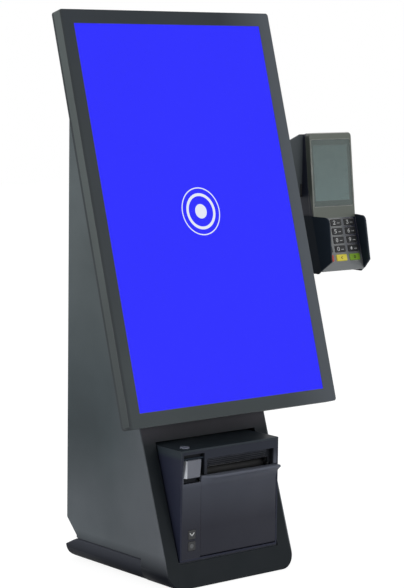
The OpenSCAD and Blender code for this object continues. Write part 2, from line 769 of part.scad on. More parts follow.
module controller_box() color("#1d1f21") on_display()
    plate(controller_w, controller_h, 3, -display_t - mount_t - controller_d, -display_t - mount_t);

module power_supply() color("#3c3f42")
    block([-supply_w / 2, printer_y1 + 5, floor_top],
          [supply_w / 2, rear_foot_y - sheet_t - 4, floor_top + supply_h]);

// Receipt printer
module printer_case() color("#2a2d31") difference() {
    block([-case_x, printer_y0, printer_z0], [case_x, printer_y1, printer_z1]);
    block([-mouth_x, printer_y0 - eps, mouth_z0], [mouth_x, printer_y1 - case_wall, mouth_z1]);
    z_bar(power_x, power_y, mouth_z1 - eps, printer_z1 + eps, power_button_r + move_gap);
    x_bar(mouth_x - eps, case_x + eps, door_axis_y, door_axis_z, door_pin_r);
    x_bar(-case_x - eps, case_x + eps, roll_y, roll_z, spindle_r);
}

module printer_fascia() color("#33363b") difference() {
    xz_prism([
        [fascia_x0, mouth_z0 + fit_gap], [column_x, mouth_z0 + fit_gap], [column_x, band_z],
        [fascia_x1, band_z], [fascia_x1, mouth_z1 - fit_gap], [fascia_x0, mouth_z1 - fit_gap],
    ], printer_y0, fascia_y1);
    // Pocket round the paper slot, with a ribbed ramp left in it
    difference() {
        block([pocket_x0, printer_y0 - eps, band_z - eps], [pocket_x1, printer_y0 + pocket_d, pocket_z1]);
        yz_prism([
            [printer_y0 + 1.5, pocket_z1 + eps], [printer_y0 + pocket_d - 1, band_z + slot_h],
            [printer_y0 + pocket_d + eps, band_z + slot_h], [printer_y0 + pocket_d + eps, pocket_z1 + eps],
        ], pocket_x0 - eps, pocket_x1 - ramp_end_gap);
        for (i = [0 : rib_count - 1])
            let (s = (i + 0.7) / (rib_count + 0.4), z = pocket_z1 - s * (pocket_z1 - band_z - slot_h))
                block([pocket_x0 - eps, printer_y0 + 0.4 + s * (pocket_d - 3), z],
                      [pocket_x1 - ramp_end_gap, printer_y0 + pocket_d, z + rib_t]);
    }
    block([pocket_x0 + slot_inset, printer_y0, band_z - eps],
          [pocket_x1 - slot_inset, fascia_y1 + eps, band_z + slot_h]);
    // Recess, finger notch and pin holes of the cover lever
    block([recess_x0, printer_y0 - eps, recess_z0], [recess_x1, printer_y0 + recess_d, recess_z1]);
    x_bar(fascia_x0 - eps, pocket_x0 - 0.8, lever_axis_y, lever_axis_z, lever_pin_r + run_gap);
    // Room for the power button's flange
    z_bar(power_x, power_y, mouth_z1 - power_room, mouth_z1 + eps, power_button_r + button_rim + 0.5);
    // Holes and pocket of the two square buttons
    for (z = [feed_z, mode_z]) translate([small_x, printer_y0, z]) rotate([90, 0, 0])
        plate(small_button + 2 * move_gap, small_button + 2 * move_gap, 1.5, -fascia_t, 1);
    block([small_x - small_button / 2 - 3, printer_y0 + small_wall, mode_z - small_button / 2 - 3],
          [small_x + small_button / 2 + 3, fascia_y1 + eps, feed_z + small_button / 2 + 3]);
    x_bar(column_x - 8, column_x + eps, door_axis_y, door_axis_z, door_pin_r);
}

module printer_door() color("#3b3e45") difference() {
    union() {
        yz_prism(concat(
            [[printer_y0, door_axis_z]],
            [for (i = [0 : 5]) let (a = flare_turn * i / 5)
                [printer_y0 - flare_r * (1 - cos(a)), flare_z + flare_r * sin(a)]],
            [[printer_y0 - lip_flare, paper_door_top], [printer_y0 + paper_door_t, paper_door_top],
             [printer_y0 + paper_door_t, door_axis_z]]
        ), paper_door_x0, paper_door_x1);
        x_bar(paper_door_x0, paper_door_x1, door_axis_y, door_axis_z, hinge_bead_r);
    }
    x_bar(paper_door_x0 - eps, paper_door_x1 + eps, door_axis_y, door_axis_z, door_pin_r + run_gap);
}

module printer_door_pin() color("#b4b6b8")
    x_bar(column_x - 7.5, case_x - 0.2, door_axis_y, door_axis_z, door_pin_r);

module cover_lever() color(pale_plastic) {
    yz_prism([
        [lever_axis_y - 3.2, lever_z1], [printer_y0 - 0.8, lever_axis_z - 4],
        [printer_y0 - 1.6, lever_z0 + 2], [printer_y0 - 0.6, lever_z0], [printer_y0 + 5, lever_z0],
        [lever_axis_y + 2.4, lever_axis_z - 4], [lever_axis_y + 2.4, lever_z1],
    ], lever_x0, lever_x1);
    x_bar(recess_x0 - 1.4, pocket_x0 - 1.4, lever_axis_y, lever_axis_z, lever_pin_r);
}

module power_button() color("#b9bbc2") {
    button_top = printer_z1 + button_travel + pressed_proud;
    z_bar(power_x, power_y, mouth_z1 - power_stem, button_top, power_button_r);
    z_bar(power_x, power_y, mouth_z1 - 0.3 - button_flange, mouth_z1 - 0.3, power_button_r + button_rim);
}

module square_button(z) translate([small_x, printer_y0, z]) rotate([90, 0, 0]) {
    plate(small_button, small_button, 1.2, -small_wall - 0.3 - button_flange, 0.6);
    plate(small_button + 2, small_button + 2, 1.2, -small_wall - 0.3 - button_flange, -small_wall - 0.3);
}

module feed_button() color(black_plastic) square_button(feed_z);
module mode_button() color(black_plastic) square_button(mode_z);

module print_frame() color("#7d8083") difference() {
    union() {
        block([frame_x0 - frame_t, frame_y0, frame_z0], [frame_x0, frame_y1, mouth_z1]);
        block([frame_x1, frame_y0, frame_z0], [frame_x1 + frame_t, frame_y1, mouth_z1]);
        block([frame_x0 - frame_t, frame_y0, mouth_z1 - frame_t], [frame_x1 + frame_t, frame_y1, mouth_z1]);
    }
    x_bar(frame_x0 - frame_t - eps, frame_x1 + frame_t + eps, platen_y, platen_z, platen_shaft_r + run_gap);
    x_bar(frame_x0 - frame_t - eps, frame_x0 + eps, motor_y, platen_z, pinion_shaft_r + run_gap);
}

module platen_roller() color("#1b1c1d") {
    x_bar(pocket_x0, pocket_x1, platen_y, platen_z, platen_r);
    x_bar(gear_x0 - 0.8, frame_x1 + frame_t + 0.5, platen_y, platen_z, platen_shaft_r);
    gear_x(platen_teeth, gear_x0, gear_x0 + gear_w, platen_y, platen_z, 0);
}

module print_head() color("#9fa3a6")
    block([frame_x0, platen_y - 8, platen_z + platen_r + 0.3],
          [frame_x1, platen_y + 8, platen_z + platen_r + 4.3]);

module feed_motor() color("#6d7073") difference() {
    x_bar(frame_x0, frame_x0 + motor_l, motor_y, platen_z, motor_r);
    x_bar(frame_x0 - eps, frame_x0 + 1, motor_y, platen_z, pinion_shaft_r + 1);
}

module motor_pinion() color("#c9b27a") {
    gear_x(pinion_teeth, gear_x0, gear_x0 + gear_w, motor_y, platen_z, 180 / pinion_teeth);
    x_bar(gear_x0, frame_x0 + 0.6, motor_y, platen_z, pinion_shaft_r);
}

module paper_roll() color("#f2f0ea") difference() {
    x_bar(paper_x - roll_w / 2, paper_x + roll_w / 2, roll_y, roll_z, roll_r);
    x_bar(paper_x - roll_w, paper_x + roll_w, roll_y, roll_z, spindle_r + run_gap);
}

module roll_spindle() color("#8c8f92") x_bar(-case_x, case_x, roll_y, roll_z, spindle_r);

// Payment terminal
module terminal_arm() color("#45494b") difference() {
    union() {
        xz_prism([
            [body_w / 2, arm_z0 - arm_web_drop], [arm_web_x, arm_z0 - arm_web_drop], [arm_web_x, arm_z0],
            [term_x + arm_reach, arm_z0], [term_x + arm_reach, arm_z1],
            [term_x0 - 5, arm_z1], [term_x0 - 5 - arm_shoulder, arm_low_z1], [body_w / 2, arm_low_z1],
        ], arm_y, arm_y + arm_t);
        block([body_w / 2, arm_y, arm_z0], [body_w / 2 + arm_t, arm_y + arm_foot, arm_low_z1]);
    }
    for (y = arm_screw_ys)
        x_bar(body_w / 2 - eps, body_w / 2 + arm_t + eps, y, arm_screw_z, arm_screw_r + run_gap);
    for (x = term_screw_xs)
        y_bar(x, arm_y - eps, arm_y + arm_t + eps, term_screw_z, arm_screw_r + run_gap);
}

// The terminal's outline seen square to its screen, with round top corners
module head_plan() on_head() translate([0, head_l - term_w * 2, -term_w])
    linear_extrude(2 * term_w) round_rect(term_w, 4 * term_w, term_corner_r);

module terminal_back_case() color("#1e2022") difference() {
    intersection() {
        yz_prism([
            head_top + case_step, [arm_y, head_top[1]], [arm_y, arm_z0 - 4], [rear_y, arm_z0 - 16],
            [rear_y, keypad_low[1] + 18], keypad_low + case_step + [15, 0], keypad_low + case_step,
            crease + case_step,
        ], term_x0, term_x1);
        head_plan();
    }
    for (x = term_screw_xs) y_bar(x, arm_y - 3.6, arm_y + eps, term_screw_z, arm_screw_r);
    // Card slot in the lower end
    on_keypad() block([-card_w / 2, -keypad_l - 20, -keypad_case_t - 4.4],
                      [card_w / 2, -keypad_l + 26, -keypad_case_t - 2.2]);
}

module terminal_front_case() color("#77797a") difference() {
    intersection() {
        yz_prism([
            head_top, crease, keypad_low, keypad_low + case_step, crease + case_step, head_top + case_step,
        ], term_x0, term_x1);
        head_plan();
    }
    // Seat of the screen glass, and the opening behind it
    on_head() {
        translate([0, term_glass_up + term_glass_h / 2, 0])
            plate(term_glass_w + 2 * fit_gap, term_glass_h + 2 * fit_gap, 3, -term_glass_t, eps);
        block([-lcd_hw, term_glass_up + lcd_edge, -2 * front_case_t],
              [lcd_hw, term_glass_up + term_glass_h - lcd_edge, 0]);
    }
    // Key holes and the pocket behind them
    on_keypad() {
        for (i = [0 : len(KEY_NAMES) - 1]) at_key(i)
            plate(key_w + 2 * move_gap, key_h + 2 * move_gap, 1.6, -key_wall - eps, eps);
        block([-pocket_hw, -pocket_low, -2 * front_case_t], [pocket_hw, -key_pocket_top, -key_wall]);
    }
}

module terminal_screen() color("#5d6b69") on_head() translate([0, term_glass_up + term_glass_h / 2, 0])
    plate(term_glass_w, term_glass_h, 3, -term_glass_t, -0.1);

module terminal_display() color("#2b302f") on_head()
    block([-lcd_hw + fit_gap, term_glass_up + lcd_edge + fit_gap, -term_glass_t - 4],
          [lcd_hw - fit_gap, term_glass_up + term_glass_h - lcd_edge - fit_gap, -term_glass_t]);

module key_mat() color("#26282a") on_keypad()
    block([-pocket_hw + fit_gap, -pocket_low + fit_gap, -keypad_case_t],
          [pocket_hw - fit_gap, -key_pocket_top - fit_gap, -keypad_case_t + mat_t]);

// One wing of the key shield, upright beside the terminal; side is -1 on the left and 1 on the right
module shield_wing(side) {
    heel_z = shield_z0 + 14;
    crown_y = crease_behind + 20;
    nose_z = shield_z0 + 19;
    nose_y = crease_behind - shield_reach - (shield_z1 - nose_z + 1) * tan(shield_lean);
    outline = concat(
        [[rear_y + shield_t, heel_z], [rear_y + shield_t, strap_z1], [crown_y, shield_z1]],
        [for (i = [0 : 5]) let (a = 90 + (90 - shield_lean) * i / 5)
            [crease_behind - shield_reach + shield_corner_r * (1 + cos(a)),
             shield_z1 - shield_corner_r * (1 - sin(a))]],
        [[nose_y, nose_z], [keypad_low[0] + 7, shield_z0], [keypad_low[0] + 30, shield_z0]]
    );
    inner = term_x + side * shield_in;
    yz_prism(outline, min(inner, inner + side * shield_t), max(inner, inner + side * shield_t));
}

// Two wings whose fronts turn in over the keys, and the strap behind the terminal
module privacy_shield() color(black_plastic) {
    for (side = [-1, 1]) {
        intersection() {
            shield_wing(side);
            on_keypad() block([-term_w, -2 * keypad_l, -2 * term_w], [term_w, keypad_l, 0]);
        }
        on_keypad() translate([side * shield_in, 0, 0]) rotate([0, -side * shield_turn, 0])
            translate([-side * shield_in, 0, 0]) intersection() {
                off_keypad() shield_wing(side);
                block([-term_w, -2 * keypad_l, -1], [term_w, keypad_l, term_w]);
            }
    }
    block([shield_x0, rear_y, strap_z0], [shield_x1, rear_y + shield_t, strap_z1]);
}

// Keys in three columns and five rows, each with a flange under the case
module at_key(i)
    translate([(i % 3 - 1) * key_pitch_x, -key_first - floor(i / 3) * key_pitch_y, 0]) children();

key_colours = ["#b5473f", "#d9c53a", "#6f9a1f"];

module keypad_key(i) color(i < 12 ? black_plastic : key_colours[i - 12]) on_keypad() at_key(i) {
    foot = -keypad_case_t + mat_t + key_travel + move_gap;
    plate(key_w, key_h, 1.4, foot, key_proud);
    plate(key_w + 2 * key_flange, key_h + 2 * key_flange, 1.4, foot, -key_wall - fit_gap);
}

base_pad();
base_plate();
body_floor();
fasteners();
left_side_panel();
right_side_panel();
front_panel();
neck_panel();
top_panel();
rear_sill();
rear_door();
rear_door_pins();
lock_barrel();
lock_post();
power_inlet();
cable_grommet();
display_bezel();
touch_glass();
lcd_panel();
display_back_cover();
display_mount();
controller_box();
power_supply();
printer_case();
printer_fascia();
printer_door();
printer_door_pin();
cover_lever();
power_button();
feed_button();
mode_button();
print_frame();
platen_roller();
print_head();
feed_motor();
motor_pinion();
paper_roll();
roll_spindle();
terminal_arm();
terminal_back_case();
terminal_front_case();
terminal_screen();
terminal_display();
key_mat();
privacy_shield();
for (i = [0 : len(KEY_NAMES) - 1])
    keypad_key(i);
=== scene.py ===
"""Looks of a counter-top self-service kiosk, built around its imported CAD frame.

The scene is in metres, and the sizes of pieces are given in millimetres. +Z is up, the front
faces -Y and the origin is the middle of the foot's anchors.
"""

import math

import bmesh
import bpy
from mathutils import Matrix, Vector


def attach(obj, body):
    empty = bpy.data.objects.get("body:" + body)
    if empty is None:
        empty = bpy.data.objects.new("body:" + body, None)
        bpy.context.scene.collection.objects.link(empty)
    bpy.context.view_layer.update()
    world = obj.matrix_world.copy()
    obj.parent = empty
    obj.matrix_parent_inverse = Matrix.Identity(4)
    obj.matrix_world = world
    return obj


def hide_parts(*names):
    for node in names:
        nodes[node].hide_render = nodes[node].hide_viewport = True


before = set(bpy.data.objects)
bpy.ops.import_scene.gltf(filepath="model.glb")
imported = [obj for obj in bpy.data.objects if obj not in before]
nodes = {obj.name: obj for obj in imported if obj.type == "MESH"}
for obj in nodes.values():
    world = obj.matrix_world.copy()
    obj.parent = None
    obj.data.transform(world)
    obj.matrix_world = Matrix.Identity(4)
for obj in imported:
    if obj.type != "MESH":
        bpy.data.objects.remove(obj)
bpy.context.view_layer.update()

MM = 0.001
BODY = "kiosk_body"

# Camera, fitted to the screen's corners in the photograph
IMAGE_H = 588
FOCAL_PX = 2033.0
SENSOR_MM = 36.0
CAMERA_AT = Vector((-1.7610, -2.1134, 0.7269))
CAMERA_TURN = math.radians(40.16)
CAMERA_DIP = math.radians(7.21)
CAMERA_ROLL = math.radians(-0.79)

# Display: middle of the screen, lean and outline
DISPLAY_MID = Vector((0, -24.5, 494.2)) * MM
DISPLAY_LEAN = 16.5
GLASS_W, GLASS_H = 335.6, 530.0
GLASS_BACK, GLASS_FRONT = -2.74, -0.82

# Terminal: crease between its screen and its keys, and the leans of the two faces
CREASE = Vector((272, 1.1, 471.9)) * MM
HEAD_L, HEAD_LEAN = 121.5, 6.3
KEYPAD_LEAN = 15.5
TERM_TOP = CREASE.z / MM + HEAD_L * math.cos(math.radians(HEAD_LEAN))
TERM_GLASS_W, TERM_GLASS_H, TERM_GLASS_UP = 77.0, 96.0, 15.5
KEY_W, KEY_H = 20.5, 9.6
KEY_PITCH_X, KEY_PITCH_Y = 26.0, 12.9
KEY_FIRST = 8.8
KEY_PROUD = 1.4
KEY_FOOT = -5.32
KEY_COLUMNS = 3
KEY_NAMES = (
    "key_1", "key_2", "key_3", "key_4", "key_5", "key_6", "key_7", "key_8", "key_9",
    "key_star", "key_0", "key_hash", "key_cancel", "key_clear", "key_enter",
)

# Printer: face, buttons, lever and door
PRINTER_FACE = -91.0
SMALL_X = -66.3
FEED_Z, MODE_Z = 70.7, 55.2
SMALL_SIDE = 12.5
POWER_AT = (-66.0, -73.4)
POWER_R = 6.5
POWER_Z0, POWER_TOP = 178.7, 186.6
POWER_FLANGE = (180.9, 182.4)
LEVER_X0, LEVER_X1 = -81.2, -51.6
LEVER_Z0, LEVER_Z1 = 148.0, 171.4
LEVER_AXIS = (-87.2, 172.5)
DOOR_X0, DOOR_X1 = -51.3, 83.0
DOOR_AXIS = (-88.0, 41.3)
DOOR_TOP = 148.3
DOOR_T = 3.0
LIP_FLARE = 9.5
LIP_R = 20.0


# Node building
def add(tree, kind, inputs=None, **settings):
    """A new node with its settings and inputs; an input is a value or another node's socket."""
    node = tree.nodes.new(kind)
    for name, value in settings.items():
        setattr(node, name, value)
    for name, value in (inputs or {}).items():
        if isinstance(value, bpy.types.NodeSocket):
            tree.links.new(value, node.inputs[name])
        else:
            node.inputs[name].default_value = value
    return node


def math_node(tree, operation, a, b=0.0, clamp=False):
    """The result of one sum; a and b are values or sockets."""
    node = add(tree, "ShaderNodeMath", {0: a, 1: b}, operation=operation, use_clamp=clamp)
    return node.outputs[0]


def spread_map(tree, value, low, high, out_low, out_high):
    """value from one range to another, held inside it."""
    node = add(tree, "ShaderNodeMapRange", {
        "Value": value, "From Min": low, "From Max": high, "To Min": out_low, "To Max": out_high,
    })
    return node.outputs["Result"]


def scaled(tree, colour, amount):
    """A colour made lighter or darker by a factor."""
    node = add(tree, "ShaderNodeVectorMath", {0: colour, "Scale": amount}, operation="SCALE")
    return node.outputs["Vector"]


def mixed(tree, amount, a, b):
    """Colour a turning to colour b as amount goes from 0 to 1."""
    return add(tree, "ShaderNodeMix", {0: amount, 6: a, 7: b}, data_type="RGBA").outputs[2]


def new_group(name, takes, gives):
    """An empty node group with named sockets: its tree, its inputs and a way to set an output."""
    tree = bpy.data.node_groups.new(name, "ShaderNodeTree")
    kinds = {"colour": "NodeSocketColor", "value": "NodeSocketFloat"}
    for socket, kind, start in takes:
        made = tree.interface.new_socket(socket, in_out="INPUT", socket_type=kinds[kind])
        made.default_value = start
    for socket, kind in gives:
        tree.interface.new_socket(socket, in_out="OUTPUT", socket_type=kinds[kind])
    start = tree.nodes.new("NodeGroupInput").outputs
    end = tree.nodes.new("NodeGroupOutput")

    def give(socket, source):
        tree.links.new(source, end.inputs[socket])

    return tree, start, give


def dot(tree, a, b):
    """The scalar product of two vectors."""
    return add(tree, "ShaderNodeVectorMath", {0: a, 1: b}, operation="DOT_PRODUCT").outputs["Value"]


def object_coords(tree):
    return add(tree, "ShaderNodeTexCoord").outputs["Object"]


def noise(tree, at, scale, detail, roughness=0.5):
    """Cloudy values from 0 to 1 over the points at."""
    node = add(tree, "ShaderNodeTexNoise", {
        "Vector": at, "Scale": scale, "Detail": detail, "Roughness": roughness,
    })
    return node.outputs["Fac"]


def make_grain_group():
    """Cloudy shade, uneven gloss and a fine grain, for paint and moulded plastic."""
    tree, takes, give = new_group("surface_grain", [
        ("Colour", "colour", (0.1, 0.1, 0.1, 1)), ("Shade Spread", "value", 0.1),
        ("Roughness", "value", 0.5), ("Gloss Spread", "value", 0.08),
        ("Grain Scale", "value", 900.0),
    ], [("Colour", "colour"), ("Roughness", "value"), ("Height", "value")])
    at = object_coords(tree)
    cloud = noise(tree, at, 6.0, 4.0)
    patch = noise(tree, at, 31.0, 3.0)
    grain = noise(tree, at, takes["Grain Scale"], 2.0, 0.6)
    swing = spread_map(tree, cloud, 0.3, 0.7, -1.0, 1.0)
    fleck = spread_map(tree, grain, 0.35, 0.65, -0.35, 0.35)
    sway = math_node(tree, "MULTIPLY", math_node(tree, "ADD", swing, fleck), takes["Shade Spread"])
    give("Colour", scaled(tree, takes["Colour"], math_node(tree, "ADD", 1.0, sway)))
    gloss = spread_map(tree, patch, 0.3, 0.7, -1.0, 1.0)
    gloss = math_node(tree, "MULTIPLY", gloss, takes["Gloss Spread"])
    give("Roughness", math_node(tree, "ADD", takes["Roughness"], gloss, clamp=True))
    give("Height", grain)
    return tree


def make_wear_and_highlight_group():
    """Thin paint and painted highlights along edges: lighter broken lines where the surface turns.
    """
    tree, takes, give = new_group("edge_wear_and_highlight", [
        ("Colour", "colour", (0.1, 0.1, 0.1, 1)), ("Worn And Lit Colour", "colour", (0.3, 0.3, 0.3, 1)),
        ("Width", "value", 0.001), ("Amount", "value", 0.4),
    ], [("Colour", "colour")])
    turned = add(tree, "ShaderNodeBevel", {"Radius": takes["Width"]}, samples=4).outputs["Normal"]
    flat = add(tree, "ShaderNodeNewGeometry").outputs["Normal"]
    edge = spread_map(tree, dot(tree, turned, flat), 0.995, 0.86, 0.0, 1.0)
    patches = noise(tree, object_coords(tree), 55.0, 5.0)
    broken = spread_map(tree, patches, 0.35, 0.62, 0.25, 1.0)
    edge_marks = math_node(tree, "MULTIPLY", edge, broken)
    mask = math_node(tree, "MULTIPLY", edge_marks, takes["Amount"], clamp=True)
    give("Colour", mixed(tree, mask, takes["Colour"], takes["Worn And Lit Colour"]))
    return tree


def make_touch_group():
    """Faint smears of fingers and cloth on glass and gloss."""
    tree, takes, give = new_group("finger_smears", [
        ("Roughness", "value", 0.1), ("Smear", "value", 0.1), ("Scale", "value", 14.0),
    ], [("Roughness", "value")])
    at = object_coords(tree)
    pulled = add(tree, "ShaderNodeMapping", {"Vector": at, "Scale": (1.0, 1.0, 0.35)})
    smear = noise(tree, pulled.outputs["Vector"], takes["Scale"], 6.0)
    amount = spread_map(tree, smear, 0.48, 0.75, 0.0, 1.0)
    amount = math_node(tree, "MULTIPLY", amount, takes["Smear"])
    give("Roughness", math_node(tree, "ADD", takes["Roughness"], amount, clamp=True))
    return tree


def make_brush_group():
    """Fine lines of rolled or brushed metal along X."""
    tree, takes, give = new_group("brushed_lines", [
        ("Colour", "colour", (0.5, 0.5, 0.5, 1)), ("Roughness", "value", 0.35),
        ("Spread", "value", 0.2),
    ], [("Colour", "colour"), ("Roughness", "value"), ("Height", "value")])
    at = object_coords(tree)
    drawn = add(tree, "ShaderNodeMapping", {"Vector": at, "Scale": (40.0, 1400.0, 1400.0)})
    line = noise(tree, drawn.outputs["Vector"], 1.0, 3.0)
    swing = spread_map(tree, line, 0.3, 0.7, -1.0, 1.0)
    swing = math_node(tree, "MULTIPLY", swing, takes["Spread"])
    give("Colour", scaled(tree, takes["Colour"], math_node(tree, "ADD", 1.0, swing)))
    half_swing = math_node(tree, "MULTIPLY", swing, 0.5)
    give("Roughness", math_node(tree, "ADD", takes["Roughness"], half_swing))
    give("Height", line)
    return tree


GRAIN = make_grain_group()
WEAR_AND_HIGHLIGHT = make_wear_and_highlight_group()
SMEARS = make_touch_group()
BRUSH = make_brush_group()


# Finishes
def new_material(name):
    """A material with only its Principled BSDF: the material, its node tree and that shader."""
    material = bpy.data.materials.new(name)
    material.use_nodes = True
    tree = material.node_tree
    tree.nodes.clear()
    shader = tree.nodes.new("ShaderNodeBsdfPrincipled")
    add(tree, "ShaderNodeOutputMaterial", {"Surface": shader.outputs["BSDF"]})
    return material, tree, shader


def bump(tree, shader, height, strength, depth):
    made = add(tree, "ShaderNodeBump", {"Height": height, "Strength": strength, "Distance": depth})
    tree.links.new(made.outputs["Normal"], shader.inputs["Normal"])


def use_group(tree, group, inputs):
    """The outputs of a shared group that takes these inputs."""
    return add(tree, "ShaderNodeGroup", inputs, node_tree=group).outputs


def opaque(colour):
    return (*colour, 1.0)


def above(tree, axis, low, high):
    """How far a point lies along an axis or a direction: 0 at low and 1 at high.

    low and high are in millimetres. Where low is the greater, it counts the other way.
    """
    at = object_coords(tree)
    if isinstance(axis, str):
        along = add(tree, "ShaderNodeSeparateXYZ", {"Vector": at}).outputs[axis]
    else:
        along = dot(tree, at, axis)
    return spread_map(tree, along, low * MM, high * MM, 0.0, 1.0)


COAT_BUMP, COAT_GLOSS_SPREAD = 0.35, 0.07
COAT_WEAR_AND_HIGHLIGHT_WIDTH = 0.0012


def coated(name, colour, roughness, spread=0.08, grain=900.0, grain_depth=0.00003, worn_and_lit=None,
           wear_and_highlight=0.35, sheen=0.5, turns=()):
    """Painted metal or moulded plastic with grain and, where worn_and_lit is given, edges that are
    thinned by use and carry a painted highlight.

    A turn is (axis or direction, low, high, colour): along it the tone goes over to that colour.
    The turns here paint light, shade and reflection.
    """
    material, tree, shader = new_material(name)
    tone = opaque(colour)
    for axis, low, high, other in turns:
        tone = mixed(tree, above(tree, axis, low, high), tone, opaque(other))
    skin = use_group(tree, GRAIN, {
        "Colour": tone, "Shade Spread": spread, "Roughness": roughness,
        "Gloss Spread": COAT_GLOSS_SPREAD, "Grain Scale": grain,
    })
    base = skin["Colour"]
    if worn_and_lit:
        base = use_group(tree, WEAR_AND_HIGHLIGHT, {
            "Colour": base, "Worn And Lit Colour": opaque(worn_and_lit), "Width": COAT_WEAR_AND_HIGHLIGHT_WIDTH, "Amount": wear_and_highlight,
        })["Colour"]
    tree.links.new(base, shader.inputs["Base Color"])
    tree.links.new(skin["Roughness"], shader.inputs["Roughness"])
    shader.inputs["Specular IOR Level"].default_value = sheen
    bump(tree, shader, skin["Height"], COAT_BUMP, grain_depth)
    return material


FINE_BUMP, FINE_DEPTH = 0.2, 0.00002


def metal(name, colour, roughness, spread=0.15):
    """Bare metal with fine drawn lines."""
    material, tree, shader = new_material(name)
    skin = use_group(tree, BRUSH, {
        "Colour": opaque(colour), "Roughness": roughness, "Spread": spread,
    })
    tree.links.new(skin["Colour"], shader.inputs["Base Color"])
    tree.links.new(skin["Roughness"], shader.inputs["Roughness"])
    shader.inputs["Metallic"].default_value = 1.0
    bump(tree, shader, skin["Height"], FINE_BUMP, FINE_DEPTH)
    return material


def pane(name, colour, alpha, roughness, smear, specular):
    """A clear cover glass with faint smears; alpha is how much of its own colour it shows."""
    material, tree, shader = new_material(name)
    skin = use_group(tree, SMEARS, {"Roughness": roughness, "Smear": smear})
    tree.links.new(skin["Roughness"], shader.inputs["Roughness"])
    shader.inputs["Base Color"].default_value = opaque(colour)
    shader.inputs["Alpha"].default_value = alpha
    shader.inputs["Specular IOR Level"].default_value = specular
    return material


def lit(name, colour, strength, spread=0.0):
    """A lit surface; spread lets its colour drift a little over the area."""
    material, tree, shader = new_material(name)
    skin = use_group(tree, GRAIN, {"Colour": opaque(colour), "Shade Spread": spread})
    tree.links.new(skin["Colour"], shader.inputs["Emission Color"])
    shader.inputs["Emission Strength"].default_value = strength
    shader.inputs["Base Color"].default_value = opaque((0.0, 0.0, 0.0))
    shader.inputs["Specular IOR Level"].default_value = 0.0
    return material


def behind_face(tree, lean_deg):
    """How far a point lies behind a face through the terminal's crease, in metres."""
    lean = math.radians(lean_deg)
    inward = Vector((0, math.cos(lean), -math.sin(lean)))
    return math_node(tree, "SUBTRACT", dot(tree, object_coords(tree), inward), CREASE.dot(inward))


# Where the terminal's tones change: below the crease, behind a face, beside the glass, near the
# top for a painted highlight, and for painted shade beside the shield's right wing, above the
# coloured keys
CREASE_LINE = 1.6
SIDE_DEPTH = 1.4
GLASS_MARGIN = 1.0
TOP_EDGE = ("Z", TERM_TOP - 1.4, TERM_TOP - 0.6)
KEY_SHADE_X, KEY_SHADE_Z = ("X", 277, 297), ("Z", 414, 424)


def terminal_moulding(name, head_tone, key_tone, side_tone, edge_highlight, roughness):
    """The terminal's front: one tone round the screen, one by the keys, dark sides, painted shade
    beside the shield's wing, and painted highlights along its edges and top.
    """
    material, tree, shader = new_material(name)
    at = add(tree, "ShaderNodeSeparateXYZ", {"Vector": object_coords(tree)}).outputs
    below = math_node(tree, "LESS_THAN", at["Z"], CREASE.z - CREASE_LINE * MM)
    shade = math_node(tree, "MULTIPLY", above(tree, *KEY_SHADE_X), above(tree, *KEY_SHADE_Z))
    keypad = mixed(tree, shade, opaque(key_tone), opaque(side_tone))
    tone = mixed(tree, below, opaque(head_tone), keypad)
    head_depth = math_node(tree, "GREATER_THAN", behind_face(tree, HEAD_LEAN), SIDE_DEPTH * MM)
    key_depth = math_node(tree, "GREATER_THAN", behind_face(tree, KEYPAD_LEAN), SIDE_DEPTH * MM)
    off_middle = math_node(tree, "ABSOLUTE", math_node(tree, "SUBTRACT", at["X"], CREASE.x))
    outside = math_node(tree, "GREATER_THAN", off_middle, (TERM_GLASS_W / 2 + GLASS_MARGIN) * MM)
    side = math_node(tree, "MULTIPLY", outside, math_node(tree, "MULTIPLY", head_depth, key_depth))
    tone = mixed(tree, side, tone, opaque(side_tone))
    tone = mixed(tree, above(tree, *TOP_EDGE), tone, opaque(edge_highlight))
    skin = use_group(tree, GRAIN, {
        "Colour": tone, "Shade Spread": 0.06, "Roughness": roughness, "Gloss Spread": 0.05,
        "Grain Scale": 1500.0,
    })
    # A pale rim along the front's edges: a painted highlight
    rim = use_group(tree, WEAR_AND_HIGHLIGHT, {
        "Colour": skin["Colour"], "Worn And Lit Colour": opaque(edge_highlight), "Width": 0.0014, "Amount": 0.7,
    })
    tree.links.new(rim["Colour"], shader.inputs["Base Color"])
    tree.links.new(skin["Roughness"], shader.inputs["Roughness"])
    bump(tree, shader, skin["Height"], FINE_BUMP, FINE_DEPTH)
    return material


# Tones that several finishes share
# Lighter edge colour of the paint: thinned by use, and a painted highlight where edges catch light
WORN_AND_LIT_PAINT = (0.19, 0.205, 0.21)
# Painted shade on surfaces that turn under, towards the floor
UNDERSIDE_SHADE = (0.011, 0.0125, 0.017)
POCKET_SHADE = (0.018, 0.02, 0.025)
# Tones of the printer's front from its bottom to its lip: painted light
PANEL_LOW, PANEL_MID = (0.031, 0.0325, 0.044), (0.068, 0.074, 0.095)
PANEL_HIGH = (0.118, 0.128, 0.16)
TERM_DARK, TERM_HIGHLIGHT = (0.024, 0.028, 0.05), (0.66, 0.64, 0.62)

# Painted panels
charcoal_paint = coated(
    "charcoal_powder_paint", (0.06, 0.07, 0.077), 0.46, spread=0.17, worn_and_lit=WORN_AND_LIT_PAINT, sheen=0.3,
)
# The back cover is darker, so that the display's rear edge shows as a painted shade line
back_cover_paint = coated("back_cover_paint", (0.036, 0.043, 0.047), 0.46, spread=0.17, sheen=0.2)

# The display's left flank carries a painted highlight, lighter than its face, that fades towards
# the bottom: the range of its turn moves to the left, off the flank, by EDGE_SHIFT over a drop of
# EDGE_SPAN
DISPLAY_EDGE = -182.5
EDGE_SHIFT, EDGE_SPAN, EDGE_LEVEL = 0.6, 530, 583
EDGE_FADE = EDGE_SHIFT / EDGE_SPAN
EDGE_START = DISPLAY_EDGE - EDGE_FADE * EDGE_LEVEL
